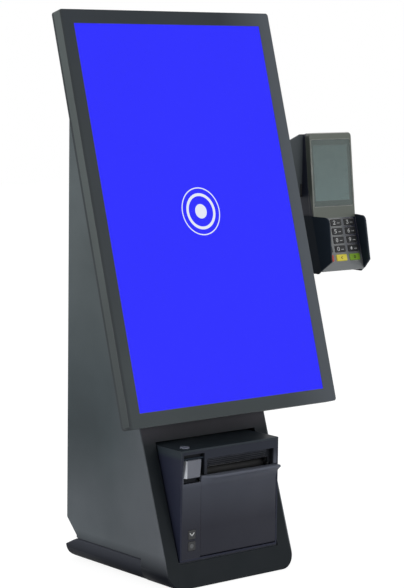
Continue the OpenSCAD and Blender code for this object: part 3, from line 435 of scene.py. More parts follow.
# Painted light and shade on the frame: darker up high, lighter to the right, shade by its left edge
frame_paint = coated(
    "display_frame_paint", (0.05, 0.061, 0.064), 0.46, worn_and_lit=WORN_AND_LIT_PAINT, wear_and_highlight=0.45, sheen=0.18,
    turns=[
        ("Z", 290, 420, (0.038, 0.046, 0.051)),
        ("Z", 640, 740, (0.03, 0.037, 0.044)),
        ("X", 90, 172, (0.085, 0.097, 0.112)),
        ("X", DISPLAY_EDGE + 6.0, DISPLAY_EDGE + 2.5, (0.03, 0.036, 0.04)),
        ((1, 0, -EDGE_FADE), EDGE_START + 0.6, EDGE_START + 0.1, (0.085, 0.1, 0.1)),
    ],
)

# Side panels: painted light near the foot, in front and higher up, and painted shade at the bottom
side_paint = coated(
    "side_panel_paint", (0.073, 0.088, 0.095), 0.46, spread=0.17, worn_and_lit=WORN_AND_LIT_PAINT, wear_and_highlight=0.3,
    sheen=0.02,
    turns=[
        ("Z", 190, 90, (0.115, 0.129, 0.141)),
        ("Y", 30, -90, (0.13, 0.14, 0.155)),
        ("Z", 260, 430, (0.114, 0.132, 0.138)),
        ("Z", 46, 18, UNDERSIDE_SHADE),
    ],
)
# The lower front: painted light at its top, where it lies under the display's overhang
front_paint = coated(
    "lower_front_paint", (0.0105, 0.014, 0.017), 0.52, worn_and_lit=(0.12, 0.13, 0.14), wear_and_highlight=0.45,
    sheen=0.12, turns=[("Z", 186, 204, (0.068, 0.066, 0.076))],
)
# The foot: painted shade at its bottom, lighter towards its top
foot_paint = coated(
    "foot_powder_paint", UNDERSIDE_SHADE, 0.44, worn_and_lit=(0.13, 0.14, 0.15), wear_and_highlight=0.45, sheen=0.015,
    turns=[("Z", 8, 33, (0.058, 0.062, 0.075))],
)

# Printer: painted light makes its front lightest along the door's lip
# The printer case is lighter on its top face: painted light
printer_shell = coated(
    "printer_moulding", (0.0175, 0.0205, 0.039), 0.5, grain=1600.0, worn_and_lit=(0.1, 0.1, 0.12),
    sheen=0.18, turns=[("Z", 172, 178, (0.027, 0.036, 0.045))],
)


def panel_moulding(name, more_turns=()):
    """The plastic of the printer's front, with painted light growing towards the door's lip."""
    turns = [
        ("Z", DOOR_TOP - 70, DOOR_TOP - 12, PANEL_MID),
        ("Z", DOOR_TOP - 14, DOOR_TOP, PANEL_HIGH),
        *more_turns,
    ]
    return coated(name, PANEL_LOW, 0.48, grain=1600.0, worn_and_lit=(0.11, 0.11, 0.13), sheen=0.12,
                  turns=turns)


# The fascia carries painted shade behind the door, above it and in its recesses, and a painted
# highlight at its right end
printer_face = panel_moulding("printer_face_moulding", [
    ("X", -46.6, -45.9, POCKET_SHADE),
    ("X", 72, 76, PANEL_HIGH),
    ("Z", DOOR_TOP - 2, DOOR_TOP + 20, (0.027, 0.031, 0.044)),
    ("Y", PRINTER_FACE + 0.9, PRINTER_FACE + 3.0, POCKET_SHADE),
])
door_face = panel_moulding("paper_door_moulding")

# The lever's left flank carries a painted highlight; its border with the darker face moves right
# by FLANK_SHIFT going up
FLANK_W, FLANK_SHIFT, FLANK_BLUR = 3.0, 1.7, 0.7
FLANK_LEAN = FLANK_SHIFT / (LEVER_Z1 - LEVER_Z0)
FLANK_EDGE = LEVER_X0 + FLANK_W - FLANK_LEAN * LEVER_Z0
FLANK_BORDER = ((1, 0, -FLANK_LEAN), FLANK_EDGE - FLANK_BLUR, FLANK_EDGE + FLANK_BLUR)
lever_plastic = coated(
    "lever_plastic_painted_highlight", (0.6, 0.62, 0.66), 0.42, grain=1800.0, spread=0.05,
    turns=[(*FLANK_BORDER, (0.14, 0.148, 0.178))],
)
button_plastic = coated("button_black_plastic", (0.02, 0.021, 0.024), 0.4, grain=1800.0)
power_plastic = coated("power_button_plastic", (0.2, 0.215, 0.28), 0.4, grain=1800.0, spread=0.05)

# Terminal
black_plastic = coated("shield_black_plastic", (0.017, 0.025, 0.037), 0.46, grain=1300.0,
                       worn_and_lit=(0.05, 0.055, 0.06), sheen=0.12)
# The back shell's top face carries the same painted highlight
terminal_shell = coated(
    "terminal_back_plastic", TERM_DARK, 0.45, grain=1500.0, worn_and_lit=(0.06, 0.06, 0.065),
    turns=[(*TOP_EDGE, TERM_HIGHLIGHT)],
)
terminal_front = terminal_moulding(
    "terminal_front_moulding", (0.12, 0.135, 0.115), (0.18, 0.19, 0.195), TERM_DARK, TERM_HIGHLIGHT,
    roughness=0.36,
)


def key_rubber(name, colour):
    return coated(name, colour, 0.5, grain=1900.0, spread=0.05)


def printed(name, colour):
    return coated(name, colour, 0.6, grain=2500.0, spread=0.04)


key_black = key_rubber("key_black_rubber", (0.014, 0.015, 0.017))
key_red = key_rubber("key_red_rubber", (0.42, 0.06, 0.05))
key_yellow = key_rubber("key_yellow_rubber", (0.72, 0.62, 0.06))
key_green = key_rubber("key_green_rubber", (0.17, 0.32, 0.015))
mark_white = printed("pale_print", (0.62, 0.63, 0.63))
mark_dark = printed("dark_print", (0.05, 0.05, 0.02))
mark_grey = printed("grey_print", (0.1, 0.105, 0.11))

# Insides, metals, lit surfaces and glass
rubber = coated("black_rubber", (0.016, 0.016, 0.017), 0.75, grain=700.0, grain_depth=0.00006)
electronics = coated("anodised_box", (0.06, 0.064, 0.068), 0.4, grain=1200.0, worn_and_lit=WORN_AND_LIT_PAINT)
paper = coated("thermal_paper", (0.82, 0.81, 0.78), 0.7, grain=400.0, spread=0.03)
gear_plastic = coated("gear_nylon", (0.62, 0.55, 0.4), 0.45, grain=1500.0, spread=0.05)
zinc = metal("zinc_steel", (0.5, 0.51, 0.52), 0.34)
lock_metal = metal("lock_steel", (0.62, 0.62, 0.61), 0.24, 0.08)
brass = metal("blade_brass", (0.7, 0.52, 0.22), 0.28, 0.08)
screen_light = lit("lit_screen", (0.034, 0.034, 1.0), 1.06, 0.012)
screen_mark = lit("lit_mark", (0.86, 0.89, 1.0), 0.95)
cover_glass = pane("cover_glass", (0.03, 0.03, 0.035), 0.03, 0.07, 0.16, 0.12)
terminal_glass = pane("terminal_glass", (0.185, 0.23, 0.22), 0.42, 0.06, 0.14, 0.4)
# The screen panel is darker towards its top: a painted reflection
terminal_panel = coated("terminal_screen_panel", (0.5, 0.74, 0.75), 0.3, grain=2400.0, spread=0.12,
                        turns=[("Z", 496, 574, (0.29, 0.43, 0.42))])


# Finish of each CAD node, and how far its edges are softened in millimetres
CAD_FINISH = {
    "left_side_panel": (side_paint, 0.5), "right_side_panel": (side_paint, 0.5),
    "top_panel": (charcoal_paint, 0.5), "neck_panel": (charcoal_paint, 0.4),
    "front_panel": (front_paint, 0.6), "rear_sill": (charcoal_paint, 0.4),
    "rear_door": (charcoal_paint, 0.6), "lock_post": (charcoal_paint, 0.3),
    "body_floor": (foot_paint, 0.3), "base_pad": (rubber, 0.3), "base_plate": (foot_paint, 0.6),
    "fasteners": (zinc, 0.3), "rear_door_pins": (zinc, 0.3), "lock_barrel": (lock_metal, 0.3),
    "power_inlet": (black_plastic, 0.4), "cable_grommet": (rubber, 0.4),
    "display_bezel": (frame_paint, 0.7), "touch_glass": (cover_glass, 0),
    "lcd_panel": (screen_light, 0), "display_back_cover": (back_cover_paint, 0.9),
    "display_mount": (zinc, 0.3), "controller_box": (electronics, 0.8),
    "power_supply": (electronics, 0.8), "printer_case": (printer_shell, 0.8),
    "printer_fascia": (printer_face, 0.5), "printer_door": (door_face, 0),
    "printer_door_pin": (zinc, 0.2), "cover_lever": (lever_plastic, 0),
    "power_button": (power_plastic, 0), "feed_button": (button_plastic, 0),
    "mode_button": (button_plastic, 0), "print_frame": (zinc, 0.3), "platen_roller": (rubber, 0),
    "print_head": (zinc, 0.3), "feed_motor": (zinc, 0.4), "motor_pinion": (gear_plastic, 0),
    "paper_roll": (paper, 0.3), "roll_spindle": (zinc, 0.3),
    "terminal_arm": (charcoal_paint, 0.5), "terminal_back_case": (terminal_shell, 1.4),
    "terminal_front_case": (terminal_front, 0.7), "terminal_screen": (terminal_glass, 0),
    "terminal_display": (terminal_panel, 0), "key_mat": (rubber, 0.3),
    "privacy_shield": (black_plastic, 0.9),
}
EDGE_ANGLE = math.radians(32)
EDGE_STEPS = 2
WELD_DISTANCE = 0.000005


def soften(obj, width_mm):
    """Rounds an object's sharp edges with modifiers, and leaves its own mesh as it is."""
    weld = obj.modifiers.new("joined_corners", "WELD")
    weld.merge_threshold = WELD_DISTANCE
    edge = obj.modifiers.new("soft_edges", "BEVEL")
    edge.width = width_mm * MM
    edge.segments = EDGE_STEPS
    edge.limit_method = "ANGLE"
    edge.angle_limit = EDGE_ANGLE
    edge.use_clamp_overlap = True
    edge.harden_normals = True


def set_finish(obj, material):
    obj.data.materials.clear()
    obj.data.materials.append(material)


for node_name, (material, width) in CAD_FINISH.items():
    set_finish(nodes[node_name], material)
    if width:
        soften(nodes[node_name], width)

KEY_FINISH = {"key_cancel": key_red, "key_clear": key_yellow, "key_enter": key_green}
for node_name in KEY_NAMES:
    set_finish(nodes[node_name], KEY_FINISH.get(node_name, key_black))


# Mesh building; every size here is in millimetres until it is placed
def leaning(origin, lean_deg):
    """Frame of a leaning face, in millimetres: X to the right, Y up the face and Z out of it."""
    lean = math.radians(lean_deg)
    turn = Matrix((
        (1, 0, 0), (0, math.sin(lean), -math.cos(lean)), (0, math.cos(lean), math.sin(lean)),
    )).to_4x4()
    return Matrix.Translation(origin) @ turn @ Matrix.Scale(MM, 4)


ON_DISPLAY = leaning(DISPLAY_MID, DISPLAY_LEAN)
ON_HEAD = leaning(CREASE, HEAD_LEAN)
ON_KEYPAD = leaning(CREASE, KEYPAD_LEAN)
ON_PRINTER = leaning(Vector((0, PRINTER_FACE, 0)) * MM, 0)
UPRIGHT = Matrix.Scale(MM, 4)
SHARP_ANGLE = math.radians(40)


def place(name, bm, at, material, body, replaced=(), smooth=True):
    """Turns a bmesh into a piece that rides on a body and stands for the named CAD nodes."""
    bm.transform(at)
    bmesh.ops.recalc_face_normals(bm, faces=bm.faces)
    mesh = bpy.data.meshes.new(name)
    bm.to_mesh(mesh)
    bm.free()
    if smooth:
        mesh.shade_smooth()
        mesh.set_sharp_from_angle(angle=SHARP_ANGLE)
    obj = bpy.data.objects.new(name, mesh)
    bpy.context.scene.collection.objects.link(obj)
    mesh.materials.append(material)
    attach(obj, body)
    if replaced:
        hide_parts(*replaced)


def arc(centre, r, start_deg, end_deg, steps):
    """Points on a circle from one angle to another."""
    points = []
    for i in range(steps + 1):
        a = math.radians(start_deg + (end_deg - start_deg) * i / steps)
        points.append((centre[0] + r * math.cos(a), centre[1] + r * math.sin(a)))
    return points


CORNER_STEPS = 6


def round_outline(w, h, r):
    """A rectangle with round corners about the origin, counter-clockwise."""
    x, y = w / 2 - r, h / 2 - r
    points = []
    for cx, cy, start in ((x, y, 0), (-x, y, 90), (-x, -y, 180), (x, -y, 270)):
        points += arc((cx, cy), r, start, start + 90, CORNER_STEPS)
    return points


def loft(bm, rings, closed=True):
    """Skins a list of rings that have equally many points; closed fills the first and the last."""
    made = [[bm.verts.new(p) for p in ring] for ring in rings]
    count = len(made[0])
    for low, high in zip(made, made[1:]):
        for i in range(count):
            j = (i + 1) % count
            bm.faces.new((low[i], low[j], high[j], high[i]))
    if closed:
        bm.faces.new(list(reversed(made[0])))
        bm.faces.new(made[-1])
    return made


SLAB_EDGE_STEPS = 4
DISH_SHARES = (0.25, 0.55, 0.8)
LEAST_SIZE = 0.05


def slab(bm, w, h, r, z0, z1, edge, centre=(0, 0), dish=0.0):
    """A plate with round corners and a rounded front edge; dish sinks its face a little."""
    levels = [(0.0, z0), (0.0, z1 - edge)]
    for i in range(1, SLAB_EDGE_STEPS + 1):
        a = math.radians(90 * i / SLAB_EDGE_STEPS)
        levels.append((edge * (1 - math.cos(a)), z1 - edge + edge * math.sin(a)))
    if dish:
        for share in DISH_SHARES:
            inset = edge + share * (h / 2 - edge - LEAST_SIZE)
            levels.append((inset, z1 - dish * math.sin(math.radians(90 * share))))
    rings = []
    for inset, z in levels:
        outline = round_outline(w - 2 * inset, h - 2 * inset, max(r - inset, LEAST_SIZE))
        rings.append([(centre[0] + x, centre[1] + y, z) for x, y in outline])
    loft(bm, rings)


def disc(bm, r, z0, z1, edge, flat, centre=(0, 0), dish=0.0):
    """A round plate; flat is half of the straight that is left on each of its four sides."""
    slab(bm, 2 * r, 2 * r, r - flat, z0, z1, edge, centre, dish)


def stroke(bm, points, width, z, thick=0.12):
    """A flat line of even width through the points, with its top at height z."""
    for start, end in zip(points, points[1:]):
        a, b = Vector((*start, 0)), Vector((*end, 0))
        along = (b - a).normalized()
        side = Vector((-along.y, along.x, 0)) * width / 2
        a -= along * width / 2
        b += along * width / 2
        corners = (a + side, a - side, b - side, b + side)
        low = [bm.verts.new((c.x, c.y, z - thick)) for c in corners]
        high = [bm.verts.new((c.x, c.y, z)) for c in corners]
        bm.faces.new(high)
        for i in range(4):
            j = (i + 1) % 4
            bm.faces.new((low[i], low[j], high[j], high[i]))
        bm.faces.new(list(reversed(low)))


# Display: cover glass and a plain touch target on the lit screen
GLASS_CORNER, GLASS_EDGE = 1.0, 0.3
TARGET_RINGS = ((21.0, 25.0), (31.5, 33.0))
TARGET_DEPTH = (-2.6, -2.45)
DOT_R, DOT_EDGE, DOT_FLAT = 10.0, 0.05, 0.1
RING_STEPS = 64


def make_cover_glass():
    bm = bmesh.new()
    slab(bm, GLASS_W, GLASS_H, GLASS_CORNER, GLASS_BACK, GLASS_FRONT, GLASS_EDGE)
    place("screen_cover_glass", bm, ON_DISPLAY, cover_glass, BODY, ["touch_glass"])


def ring_plate(bm, r_in, r_out, z0, z1):
    """A flat ring about the origin."""
    angles = [2 * math.pi * i / RING_STEPS for i in range(RING_STEPS)]
    rings = []
    for r, z in ((r_in, z0), (r_out, z0), (r_out, z1), (r_in, z1)):
        rings.append([(r * math.cos(a), r * math.sin(a), z) for a in angles])
    made = loft(bm, rings, closed=False)
    for i in range(RING_STEPS):
        j = (i + 1) % RING_STEPS
        bm.faces.new((made[3][i], made[3][j], made[0][j], made[0][i]))


def make_touch_target():
    bm = bmesh.new()
    for r_in, r_out in TARGET_RINGS:
        ring_plate(bm, r_in, r_out, *TARGET_DEPTH)
    disc(bm, DOT_R, *TARGET_DEPTH, DOT_EDGE, DOT_FLAT)
    place("screen_touch_target", bm, ON_DISPLAY, screen_mark, BODY)


make_cover_glass()
make_touch_target()


# Printer door: a thin panel whose top lip flares forward in one sweep and eases in by the column
LIP_EASE, EASE_STEPS = 26.0, 12
LIP_STRAIGHT, LIP_STEPS = 3.0, 14
LIP_ROUND, LIP_ROUND_MID = 1.0, 0.3
COLUMN_FLARE = 1.2
DOOR_EDGE, DOOR_END = 0.4, 0.5
DOOR_CHAMFER = 0.6
HINGE_STEPS = 16


def door_profile(flare, take_in):
    """The door's outline in the Y-Z plane for one flare of its lip, taken in at its two ends."""
    turn = math.acos(1 - flare / LIP_R)
    start_z = DOOR_TOP - LIP_STRAIGHT - LIP_R * math.sin(turn)
    face = PRINTER_FACE + take_in
    lip = face - flare
    back = PRINTER_FACE + DOOR_T
    top = DOOR_TOP - take_in
    sweep = [turn * i / LIP_STEPS for i in range(LIP_STEPS + 1)]
    outline = [(face - LIP_R * (1 - math.cos(a)), start_z + LIP_R * math.sin(a)) for a in sweep]
    outline += [(lip, top - LIP_ROUND), (lip + LIP_ROUND_MID, top - LIP_ROUND_MID)]
    outline += [(lip + LIP_ROUND, top), (back - DOOR_CHAMFER, top), (back, top - DOOR_CHAMFER)]
    return outline + arc(DOOR_AXIS, DOOR_T, 0, -180, HINGE_STEPS)


def make_printer_door():
    start = DOOR_X0 + DOOR_END
    stations = [(DOOR_X0, DOOR_EDGE), (start, 0.0)]
    stations += [(start + LIP_EASE * i / EASE_STEPS, 0.0) for i in range(1, EASE_STEPS + 1)]
    stations += [(DOOR_X1 - DOOR_END, 0.0), (DOOR_X1, DOOR_EDGE)]
    rings = []
    for x, take_in in stations:
        share = min((x - DOOR_X0) / LIP_EASE, 1.0)
        ease = share * share * (3 - 2 * share)
        flare = COLUMN_FLARE + (LIP_FLARE - COLUMN_FLARE) * ease
        rings.append([(x, y, z) for y, z in door_profile(flare, take_in)])
    bm = bmesh.new()
    loft(bm, rings)
    place("paper_door_panel", bm, UPRIGHT, door_face, "printer_door",
          ["printer_door"])


# Cover lever: a tongue, prouder towards its bottom, with a painted highlight on its rounded left
# flank, and its pin
LEVER_TOP_PROUD = 0.5
LEVER_PROUD, LEVER_CURVE = 2.8, 0.8
LEVER_SWEEP = 4.2
LEVER_BACK = LEVER_AXIS[0] + 2.2
LEVER_CORNER_R, LEVER_CORNER_STEPS = 0.9, 5
LEVER_END_R, LEVER_END_RISE, LEVER_END_INSET = 0.8, 0.25, 0.3
LEVER_STEPS = 12
FLANK_TOP, FLANK_GAIN, FLANK_STEPS = (0.8, 1.0), (2.6, 4.0), 9
PIN_R, PIN_X0, PIN_X1 = 1.5, -83.1, -42.6
PIN_CHAMFER = 0.3
PIN_STEPS = 24


def lever_ring(z, inset):
    """One level outline of the lever, taken in by inset all round."""
    share = (z - LEVER_Z0) / (LEVER_Z1 - LEVER_Z0)
    left = LEVER_X0 + LEVER_SWEEP * share + inset
    right = LEVER_X1 - LEVER_SWEEP * (1 - share) - inset
    face = PRINTER_FACE - LEVER_TOP_PROUD - LEVER_PROUD * (1 - share) ** LEVER_CURVE + inset
    flank_x, flank_y = [top + gain * (1 - share) for top, gain in zip(FLANK_TOP, FLANK_GAIN)]
    outline = [(left, LEVER_BACK - inset)]
    for x, y in arc((0, 0), 1.0, 180, 270, FLANK_STEPS):
        outline.append((left + flank_x * (1 + x), face + flank_y * (1 + y)))
    corner = (right - LEVER_CORNER_R, face + LEVER_CORNER_R)
    outline += arc(corner, LEVER_CORNER_R, 270, 360, LEVER_CORNER_STEPS)
    outline.append((right, LEVER_BACK - inset))
    return [(x, y, z) for x, y in outline]


def make_lever():
    start = LEVER_Z0 + LEVER_END_R
    tall = LEVER_Z1 - LEVER_Z0 - 2 * LEVER_END_R
    levels = [(LEVER_Z0, LEVER_END_R), (LEVER_Z0 + LEVER_END_RISE, LEVER_END_INSET), (start, 0.0)]
    levels += [(start + tall * i / LEVER_STEPS, 0.0) for i in range(1, LEVER_STEPS + 1)]
    levels += [(LEVER_Z1 - LEVER_END_RISE, LEVER_END_INSET), (LEVER_Z1, LEVER_END_R)]
    bm = bmesh.new()
    loft(bm, [lever_ring(z, inset) for z, inset in levels])
    place("cover_lever_tongue", bm, UPRIGHT, lever_plastic, "cover_lever",
          ["cover_lever"])


def make_lever_pin():
    stations = (
        (PIN_X0, PIN_CHAMFER), (PIN_X0 + PIN_CHAMFER, 0.0),
        (PIN_X1 - PIN_CHAMFER, 0.0), (PIN_X1, PIN_CHAMFER),
    )
    last = 360 - 360 / PIN_STEPS
    rings = []
    for x, inset in stations:
        rings.append([(x, y, z) for y, z in arc(LEVER_AXIS, PIN_R - inset, 0, last, PIN_STEPS - 1)])
    bm = bmesh.new()
    loft(bm, rings)
    place("cover_lever_pin", bm, UPRIGHT, black_plastic, "cover_lever")


# Printer buttons: two square ones with their marks, and the round power button
RIM_EDGE = 0.2
SMALL_FOOT, SMALL_PROUD = -6.8, 0.6
SMALL_CORNER, SMALL_EDGE, SMALL_DISH = 1.2, 0.6, 0.25
SMALL_RIM, SMALL_RIM_TOP = 2.0, -5.3
CHEVRON = ((-3.2, 2.0), (0.0, -1.6), (3.2, 2.0))
CHEVRON_LINE, CHEVRON_TOP = 1.3, 0.55
MODE_DOT_R, MODE_DOT_EDGE, MODE_DOT_DEPTH = 3.0, 0.1, (0.3, 0.5)
POWER_RIM, POWER_EDGE, POWER_DISH = 1.5, 0.8, 0.5
POWER_FLAT = 0.01


def make_small_buttons():
    rim = SMALL_SIDE + SMALL_RIM
    for body, z in (("feed_button", FEED_Z), ("mode_button", MODE_Z)):
        at = (SMALL_X, z)
        bm = bmesh.new()
        slab(bm, SMALL_SIDE, SMALL_SIDE, SMALL_CORNER, SMALL_FOOT, SMALL_PROUD, SMALL_EDGE, at,
             SMALL_DISH)
        slab(bm, rim, rim, SMALL_CORNER, SMALL_FOOT, SMALL_RIM_TOP, RIM_EDGE, at)
        place(body + "_cap", bm, ON_PRINTER, button_plastic, body, [body])
    bm = bmesh.new()
    stroke(bm, [(SMALL_X + x, FEED_Z + z) for x, z in CHEVRON], CHEVRON_LINE, CHEVRON_TOP)
    place("feed_button_mark", bm, ON_PRINTER, mark_white, "feed_button",
          smooth=False)
    bm = bmesh.new()
    disc(bm, MODE_DOT_R, *MODE_DOT_DEPTH, MODE_DOT_EDGE, DOT_FLAT, (SMALL_X, MODE_Z))
    place("mode_button_mark", bm, ON_PRINTER, mark_grey, "mode_button")


def make_power_button():
    bm = bmesh.new()
    disc(bm, POWER_R, POWER_Z0, POWER_TOP, POWER_EDGE, POWER_FLAT, POWER_AT, POWER_DISH)
    disc(bm, POWER_R + POWER_RIM, *POWER_FLANGE, RIM_EDGE, POWER_FLAT, POWER_AT)
    place("power_button_cap", bm, UPRIGHT, power_plastic, "power_button",
          ["power_button"])


make_printer_door()
make_lever()
make_lever_pin()
make_small_buttons()
make_power_button()


# Rubber edge on the arm's plate beside the terminal
ARM_Y, ARM_Z = (27.6, 30.6), (500.4, 519.0)
ARM_EDGE_X = 230.93
TRIM_T, TRIM_REACH = 0.8, 3.0
TRIM_R, TRIM_STEPS = 0.7, 4
TRIM_END = 0.15


def make_arm_edge():
    x0, y0, y1 = ARM_EDGE_X - TRIM_REACH, ARM_Y[0] - TRIM_T, ARM_Y[1] + TRIM_T
    round_x, inner_x = ARM_EDGE_X - TRIM_R, ARM_EDGE_X - TRIM_END
    outer = [(x0, y0)] + arc((round_x, y0 + TRIM_R), TRIM_R, 270, 360, TRIM_STEPS)
    outer += arc((round_x, y1 - TRIM_R), TRIM_R, 0, 90, TRIM_STEPS) + [(x0, y1)]
    inner = [(x0, ARM_Y[1]), (inner_x, ARM_Y[1]), (inner_x, ARM_Y[0]), (x0, ARM_Y[0])]
    bm = bmesh.new()
    loft(bm, [[(x, y, z) for x, y in outer + inner] for z in ARM_Z])
    place("arm_edge_trim", bm, UPRIGHT, rubber, BODY)


# Terminal: screen glass, keys and their marks
TERM_GLASS_DEPTH = (-1.95, -0.1)
TERM_GLASS_CORNER, TERM_GLASS_EDGE = 3.0, 0.4


def make_terminal_glass():
    bm = bmesh.new()
    middle = (0, TERM_GLASS_UP + TERM_GLASS_H / 2)
    slab(bm, TERM_GLASS_W, TERM_GLASS_H, TERM_GLASS_CORNER, *TERM_GLASS_DEPTH, TERM_GLASS_EDGE,
         middle)
    place("terminal_cover_glass", bm, ON_HEAD, terminal_glass, BODY,
          ["terminal_screen"])


# Strokes of the key marks, on a field of this width and height
MARK_FIELD = (4, 6)
MARKS = {
    "key_1": [[(1, 5), (2, 6), (2, 0)]],
    "key_2": [[(0, 5), (1, 6), (3, 6), (4, 5), (4, 4), (0, 0), (4, 0)]],
    "key_3": [[(0, 6), (4, 6), (2, 3.6), (3, 3.6), (4, 2.6), (4, 1), (3, 0), (1, 0), (0, 1)]],
    "key_4": [[(3, 0), (3, 6), (0, 2), (4, 2)]],
    "key_5": [[(4, 6), (0.4, 6), (0, 3.4), (3, 3.4), (4, 2.4), (4, 1), (3, 0), (0, 0)]],
    "key_6": [[(3.6, 6), (1.4, 5), (0, 2.4), (0, 1), (1, 0), (3, 0), (4, 1), (4, 2.2), (3, 3.2),
               (0.4, 3)]],
    "key_7": [[(0, 6), (4, 6), (1.4, 0)]],
    "key_8": [[(1, 3.2), (0, 4.2), (0, 5), (1, 6), (3, 6), (4, 5), (4, 4.2), (3, 3.2), (1, 3.2),
               (0, 2.2), (0, 1), (1, 0), (3, 0), (4, 1), (4, 2.2), (3, 3.2)]],
    "key_9": [[(0.4, 0), (2.6, 1), (4, 3.6), (4, 5), (3, 6), (1, 6), (0, 5), (0, 3.8), (1, 2.8),
               (3.6, 3)]],
    "key_0": [[(1, 0), (0, 1), (0, 5), (1, 6), (3, 6), (4, 5), (4, 1), (3, 0), (1, 0)]],
    "key_star": [[(2, 1), (2, 5)], [(0.3, 2), (3.7, 4)], [(0.3, 4), (3.7, 2)]],
    "key_hash": [[(1.2, 0.8), (1.6, 5.2)], [(2.4, 0.8), (2.8, 5.2)], [(0.2, 2.2), (3.6, 2.2)],
                 [(0.4, 3.8), (3.8, 3.8)]],
    "key_cancel": [[(0.2, 1), (3.8, 5)], [(0.2, 5), (3.8, 1)]],
    "key_clear": [[(3.4, 5.2), (0.6, 3), (3.4, 0.8)]],
    "key_enter": [arc((2, 3), 2, 0, 360, 16)],
}
KEY_CORNER, KEY_EDGE, KEY_DISH = 1.4, 0.8, 0.35
KEY_RIM, KEY_RIM_TOP = 1.6, -2.75
MARK_TALL, MARK_LINE = 5.0, 0.85
MARK_SINK, MARK_DEPTH = 0.1, 0.35
MARK_TOP = KEY_PROUD - MARK_SINK
DARK_MARKED = ("key_clear", "key_enter")

# The first twelve keys have their mark to the left of two short lines
LINED_KEYS = 12
LINED_SHIFT = -4.2
LINE_X, LINE_LONG, LINE_PITCH = 1.8, 1.4, 2.6
LINE_DROP, LINE_WIDTH = 0.9, 0.7


def key_mark(bm, name, x, y):
    """The strokes of one key's mark about a point."""
    field_w, field_h = MARK_FIELD
    unit = MARK_TALL / field_h
    for line in MARKS[name]:
        points = [(x + (u - field_w / 2) * unit, y + (v - field_h / 2) * unit) for u, v in line]
        stroke(bm, points, MARK_LINE, MARK_TOP, MARK_DEPTH)


def make_keys():
    for i, name in enumerate(KEY_NAMES):
        row, column = divmod(i, KEY_COLUMNS)
        x, y = (column - 1) * KEY_PITCH_X, -KEY_FIRST - row * KEY_PITCH_Y
        at = (x, y)
        bm = bmesh.new()
        slab(bm, KEY_W, KEY_H, KEY_CORNER, KEY_FOOT, KEY_PROUD, KEY_EDGE, at, KEY_DISH)
        slab(bm, KEY_W + KEY_RIM, KEY_H + KEY_RIM, KEY_CORNER, KEY_FOOT, KEY_RIM_TOP, RIM_EDGE, at)
        place(name + "_cap", bm, ON_KEYPAD, KEY_FINISH.get(name, key_black), name, [name])
        bm = bmesh.new()
        if i < LINED_KEYS:
            key_mark(bm, name, x + LINED_SHIFT, y)
            for start in (x + LINE_X, x + LINE_X + LINE_PITCH):
                ends = [(start, y - LINE_DROP), (start + LINE_LONG, y - LINE_DROP)]
                stroke(bm, ends, LINE_WIDTH, MARK_TOP, MARK_DEPTH)
        else:
            key_mark(bm, name, x, y)
        mark = mark_dark if name in DARK_MARKED else mark_white
        place(name + "_mark", bm, ON_KEYPAD, mark, name, smooth=False)


make_arm_edge()
make_terminal_glass()
make_keys()


# Power inlet: bright blades in the socket
INLET_AT = (-45.0, 101.2)
INLET_BACK, BLADE_TIP = 112.5, 122.55
BLADES_AT = ((-7, -2), (0, 2), (7, -2))
BLADE_HALF_W, BLADE_HALF_H = 1.06, 2.06
BLADE_POINT, BLADE_TAPER = 0.8, 0.5


def make_inlet_blades():
    stations = ((INLET_BACK, 0.0), (BLADE_TIP - BLADE_POINT, 0.0), (BLADE_TIP, BLADE_TAPER))
    bm = bmesh.new()
    for dx, dz in BLADES_AT:
        x, z = INLET_AT[0] + dx, INLET_AT[1] + dz
        rings = []
        for y, inset in stations:
            w, h = BLADE_HALF_W - inset, BLADE_HALF_H - inset
            corners = ((-w, -h), (w, -h), (w, h), (-w, h))
            rings.append([(x + across, y, z + up) for across, up in corners])
        loft(bm, rings)
    place("inlet_blades", bm, UPRIGHT, brass, BODY, smooth=False)


make_inlet_blades()


# Floor, light and camera
GLOSS_SHARE = 0.6
FLOOR_HALF = 6.0
FLOOR_TONE = (0.66, 0.66, 0.66)
FLOOR_WHITE, FLOOR_WHITE_SHARE = 1.475, 0.6
SOFT_TONE, SOFT_STRENGTH = (0.97, 0.99, 1.0), 0.42
WHITE = (1.0, 1.0, 1.0)

# Each softbox's place, side in metres and power in watts
SOFTBOXES = {
    "left_softbox": ((-2.8, 0.3, 1.3), 2.0, 36),
    "front_softbox": ((0.6, -2.7, 1.1), 1.4, 23),
    "top_softbox": ((0.3, 0.2, 2.6), 2.2, 14),
}
LIGHT_TARGET = Vector((0, 0, 0.4))


def background_seen(tree):
    """1 for rays that meet the background straight or through glass, GLOSS_SHARE off a gloss."""
    path = add(tree, "ShaderNodeLightPath").outputs
    straight = math_node(tree, "MAXIMUM", path["Is Camera Ray"], path["Is Transmission Ray"])
    gloss = math_node(tree, "MULTIPLY", path["Is Glossy Ray"], GLOSS_SHARE)
    return math_node(tree, "MAXIMUM", straight, gloss)


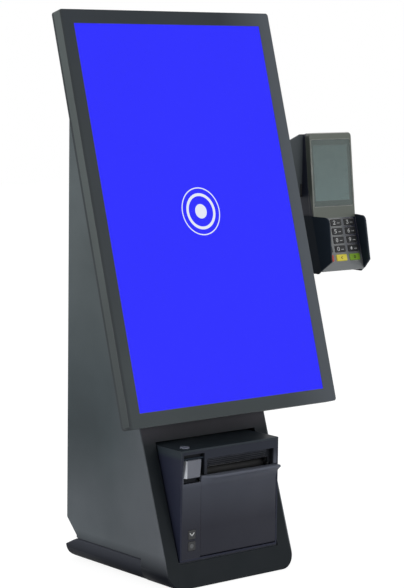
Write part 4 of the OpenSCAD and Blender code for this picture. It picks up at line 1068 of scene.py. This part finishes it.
def make_floor():
    bm = bmesh.new()
    corners = ((-FLOOR_HALF, -FLOOR_HALF), (FLOOR_HALF, -FLOOR_HALF), (FLOOR_HALF, FLOOR_HALF),
               (-FLOOR_HALF, FLOOR_HALF))
    bm.faces.new([bm.verts.new((x, y, 0)) for x, y in corners])
    mesh = bpy.data.meshes.new("counter")
    bm.to_mesh(mesh)
    bm.free()
    floor = bpy.data.objects.new("counter", mesh)
    bpy.context.scene.collection.objects.link(floor)
    material, tree, shader = new_material("pale_counter")
    shader.inputs["Base Color"].default_value = opaque(FLOOR_TONE)
    shader.inputs["Roughness"].default_value = 0.8
    shader.inputs["Specular IOR Level"].default_value = 0.2
    white = add(tree, "ShaderNodeEmission", {"Color": opaque(WHITE), "Strength": FLOOR_WHITE})
    amount = math_node(tree, "MULTIPLY", background_seen(tree), FLOOR_WHITE_SHARE)
    blend = add(tree, "ShaderNodeMixShader", {
        0: amount, 1: shader.outputs["BSDF"], 2: white.outputs["Emission"],
    })
    output = next(n for n in tree.nodes if n.type == "OUTPUT_MATERIAL")
    tree.links.new(blend.outputs["Shader"], output.inputs["Surface"])
    mesh.materials.append(material)


def make_world():
    world = bpy.data.worlds.new("studio")
    bpy.context.scene.world = world
    world.use_nodes = True
    tree = world.node_tree
    tree.nodes.clear()
    soft = add(tree, "ShaderNodeBackground", {
        "Color": opaque(SOFT_TONE), "Strength": SOFT_STRENGTH,
    })
    white = add(tree, "ShaderNodeBackground", {"Color": opaque(WHITE), "Strength": 1.0})
    blend = add(tree, "ShaderNodeMixShader", {
        0: background_seen(tree), 1: soft.outputs["Background"], 2: white.outputs["Background"],
    })
    add(tree, "ShaderNodeOutputWorld", {"Surface": blend.outputs["Shader"]})


def make_softbox(name, at, side, power):
    light = bpy.data.lights.new(name, "AREA")
    light.shape = "SQUARE"
    light.size = side
    light.energy = power
    lamp = bpy.data.objects.new(name, light)
    lamp.location = at
    lamp.rotation_euler = (LIGHT_TARGET - Vector(at)).to_track_quat("-Z", "Y").to_euler()
    bpy.context.scene.collection.objects.link(lamp)


def make_camera():
    data = bpy.data.cameras.new("photo_camera")
    data.sensor_fit = "VERTICAL"
    data.sensor_height = SENSOR_MM
    data.lens = FOCAL_PX / IMAGE_H * SENSOR_MM
    data.clip_start = 0.05
    camera = bpy.data.objects.new("photo_camera", data)
    ahead = Vector((
        math.sin(CAMERA_TURN) * math.cos(CAMERA_DIP), math.cos(CAMERA_TURN) * math.cos(CAMERA_DIP),
        -math.sin(CAMERA_DIP),
    ))
    right = Vector((math.cos(CAMERA_TURN), -math.sin(CAMERA_TURN), 0))
    down = ahead.cross(right)
    image_x = math.cos(CAMERA_ROLL) * right + math.sin(CAMERA_ROLL) * down
    image_up = math.sin(CAMERA_ROLL) * right - math.cos(CAMERA_ROLL) * down
    turn = Matrix((image_x, image_up, -ahead)).transposed()
    camera.matrix_world = Matrix.Translation(CAMERA_AT) @ turn.to_4x4()
    bpy.context.scene.collection.objects.link(camera)
    bpy.context.scene.camera = camera


make_floor()
make_world()
for lamp_name, (lamp_at, lamp_side, lamp_power) in SOFTBOXES.items():
    make_softbox(lamp_name, lamp_at, lamp_side, lamp_power)
make_camera()
bpy.context.scene.view_settings.view_transform = "Standard"
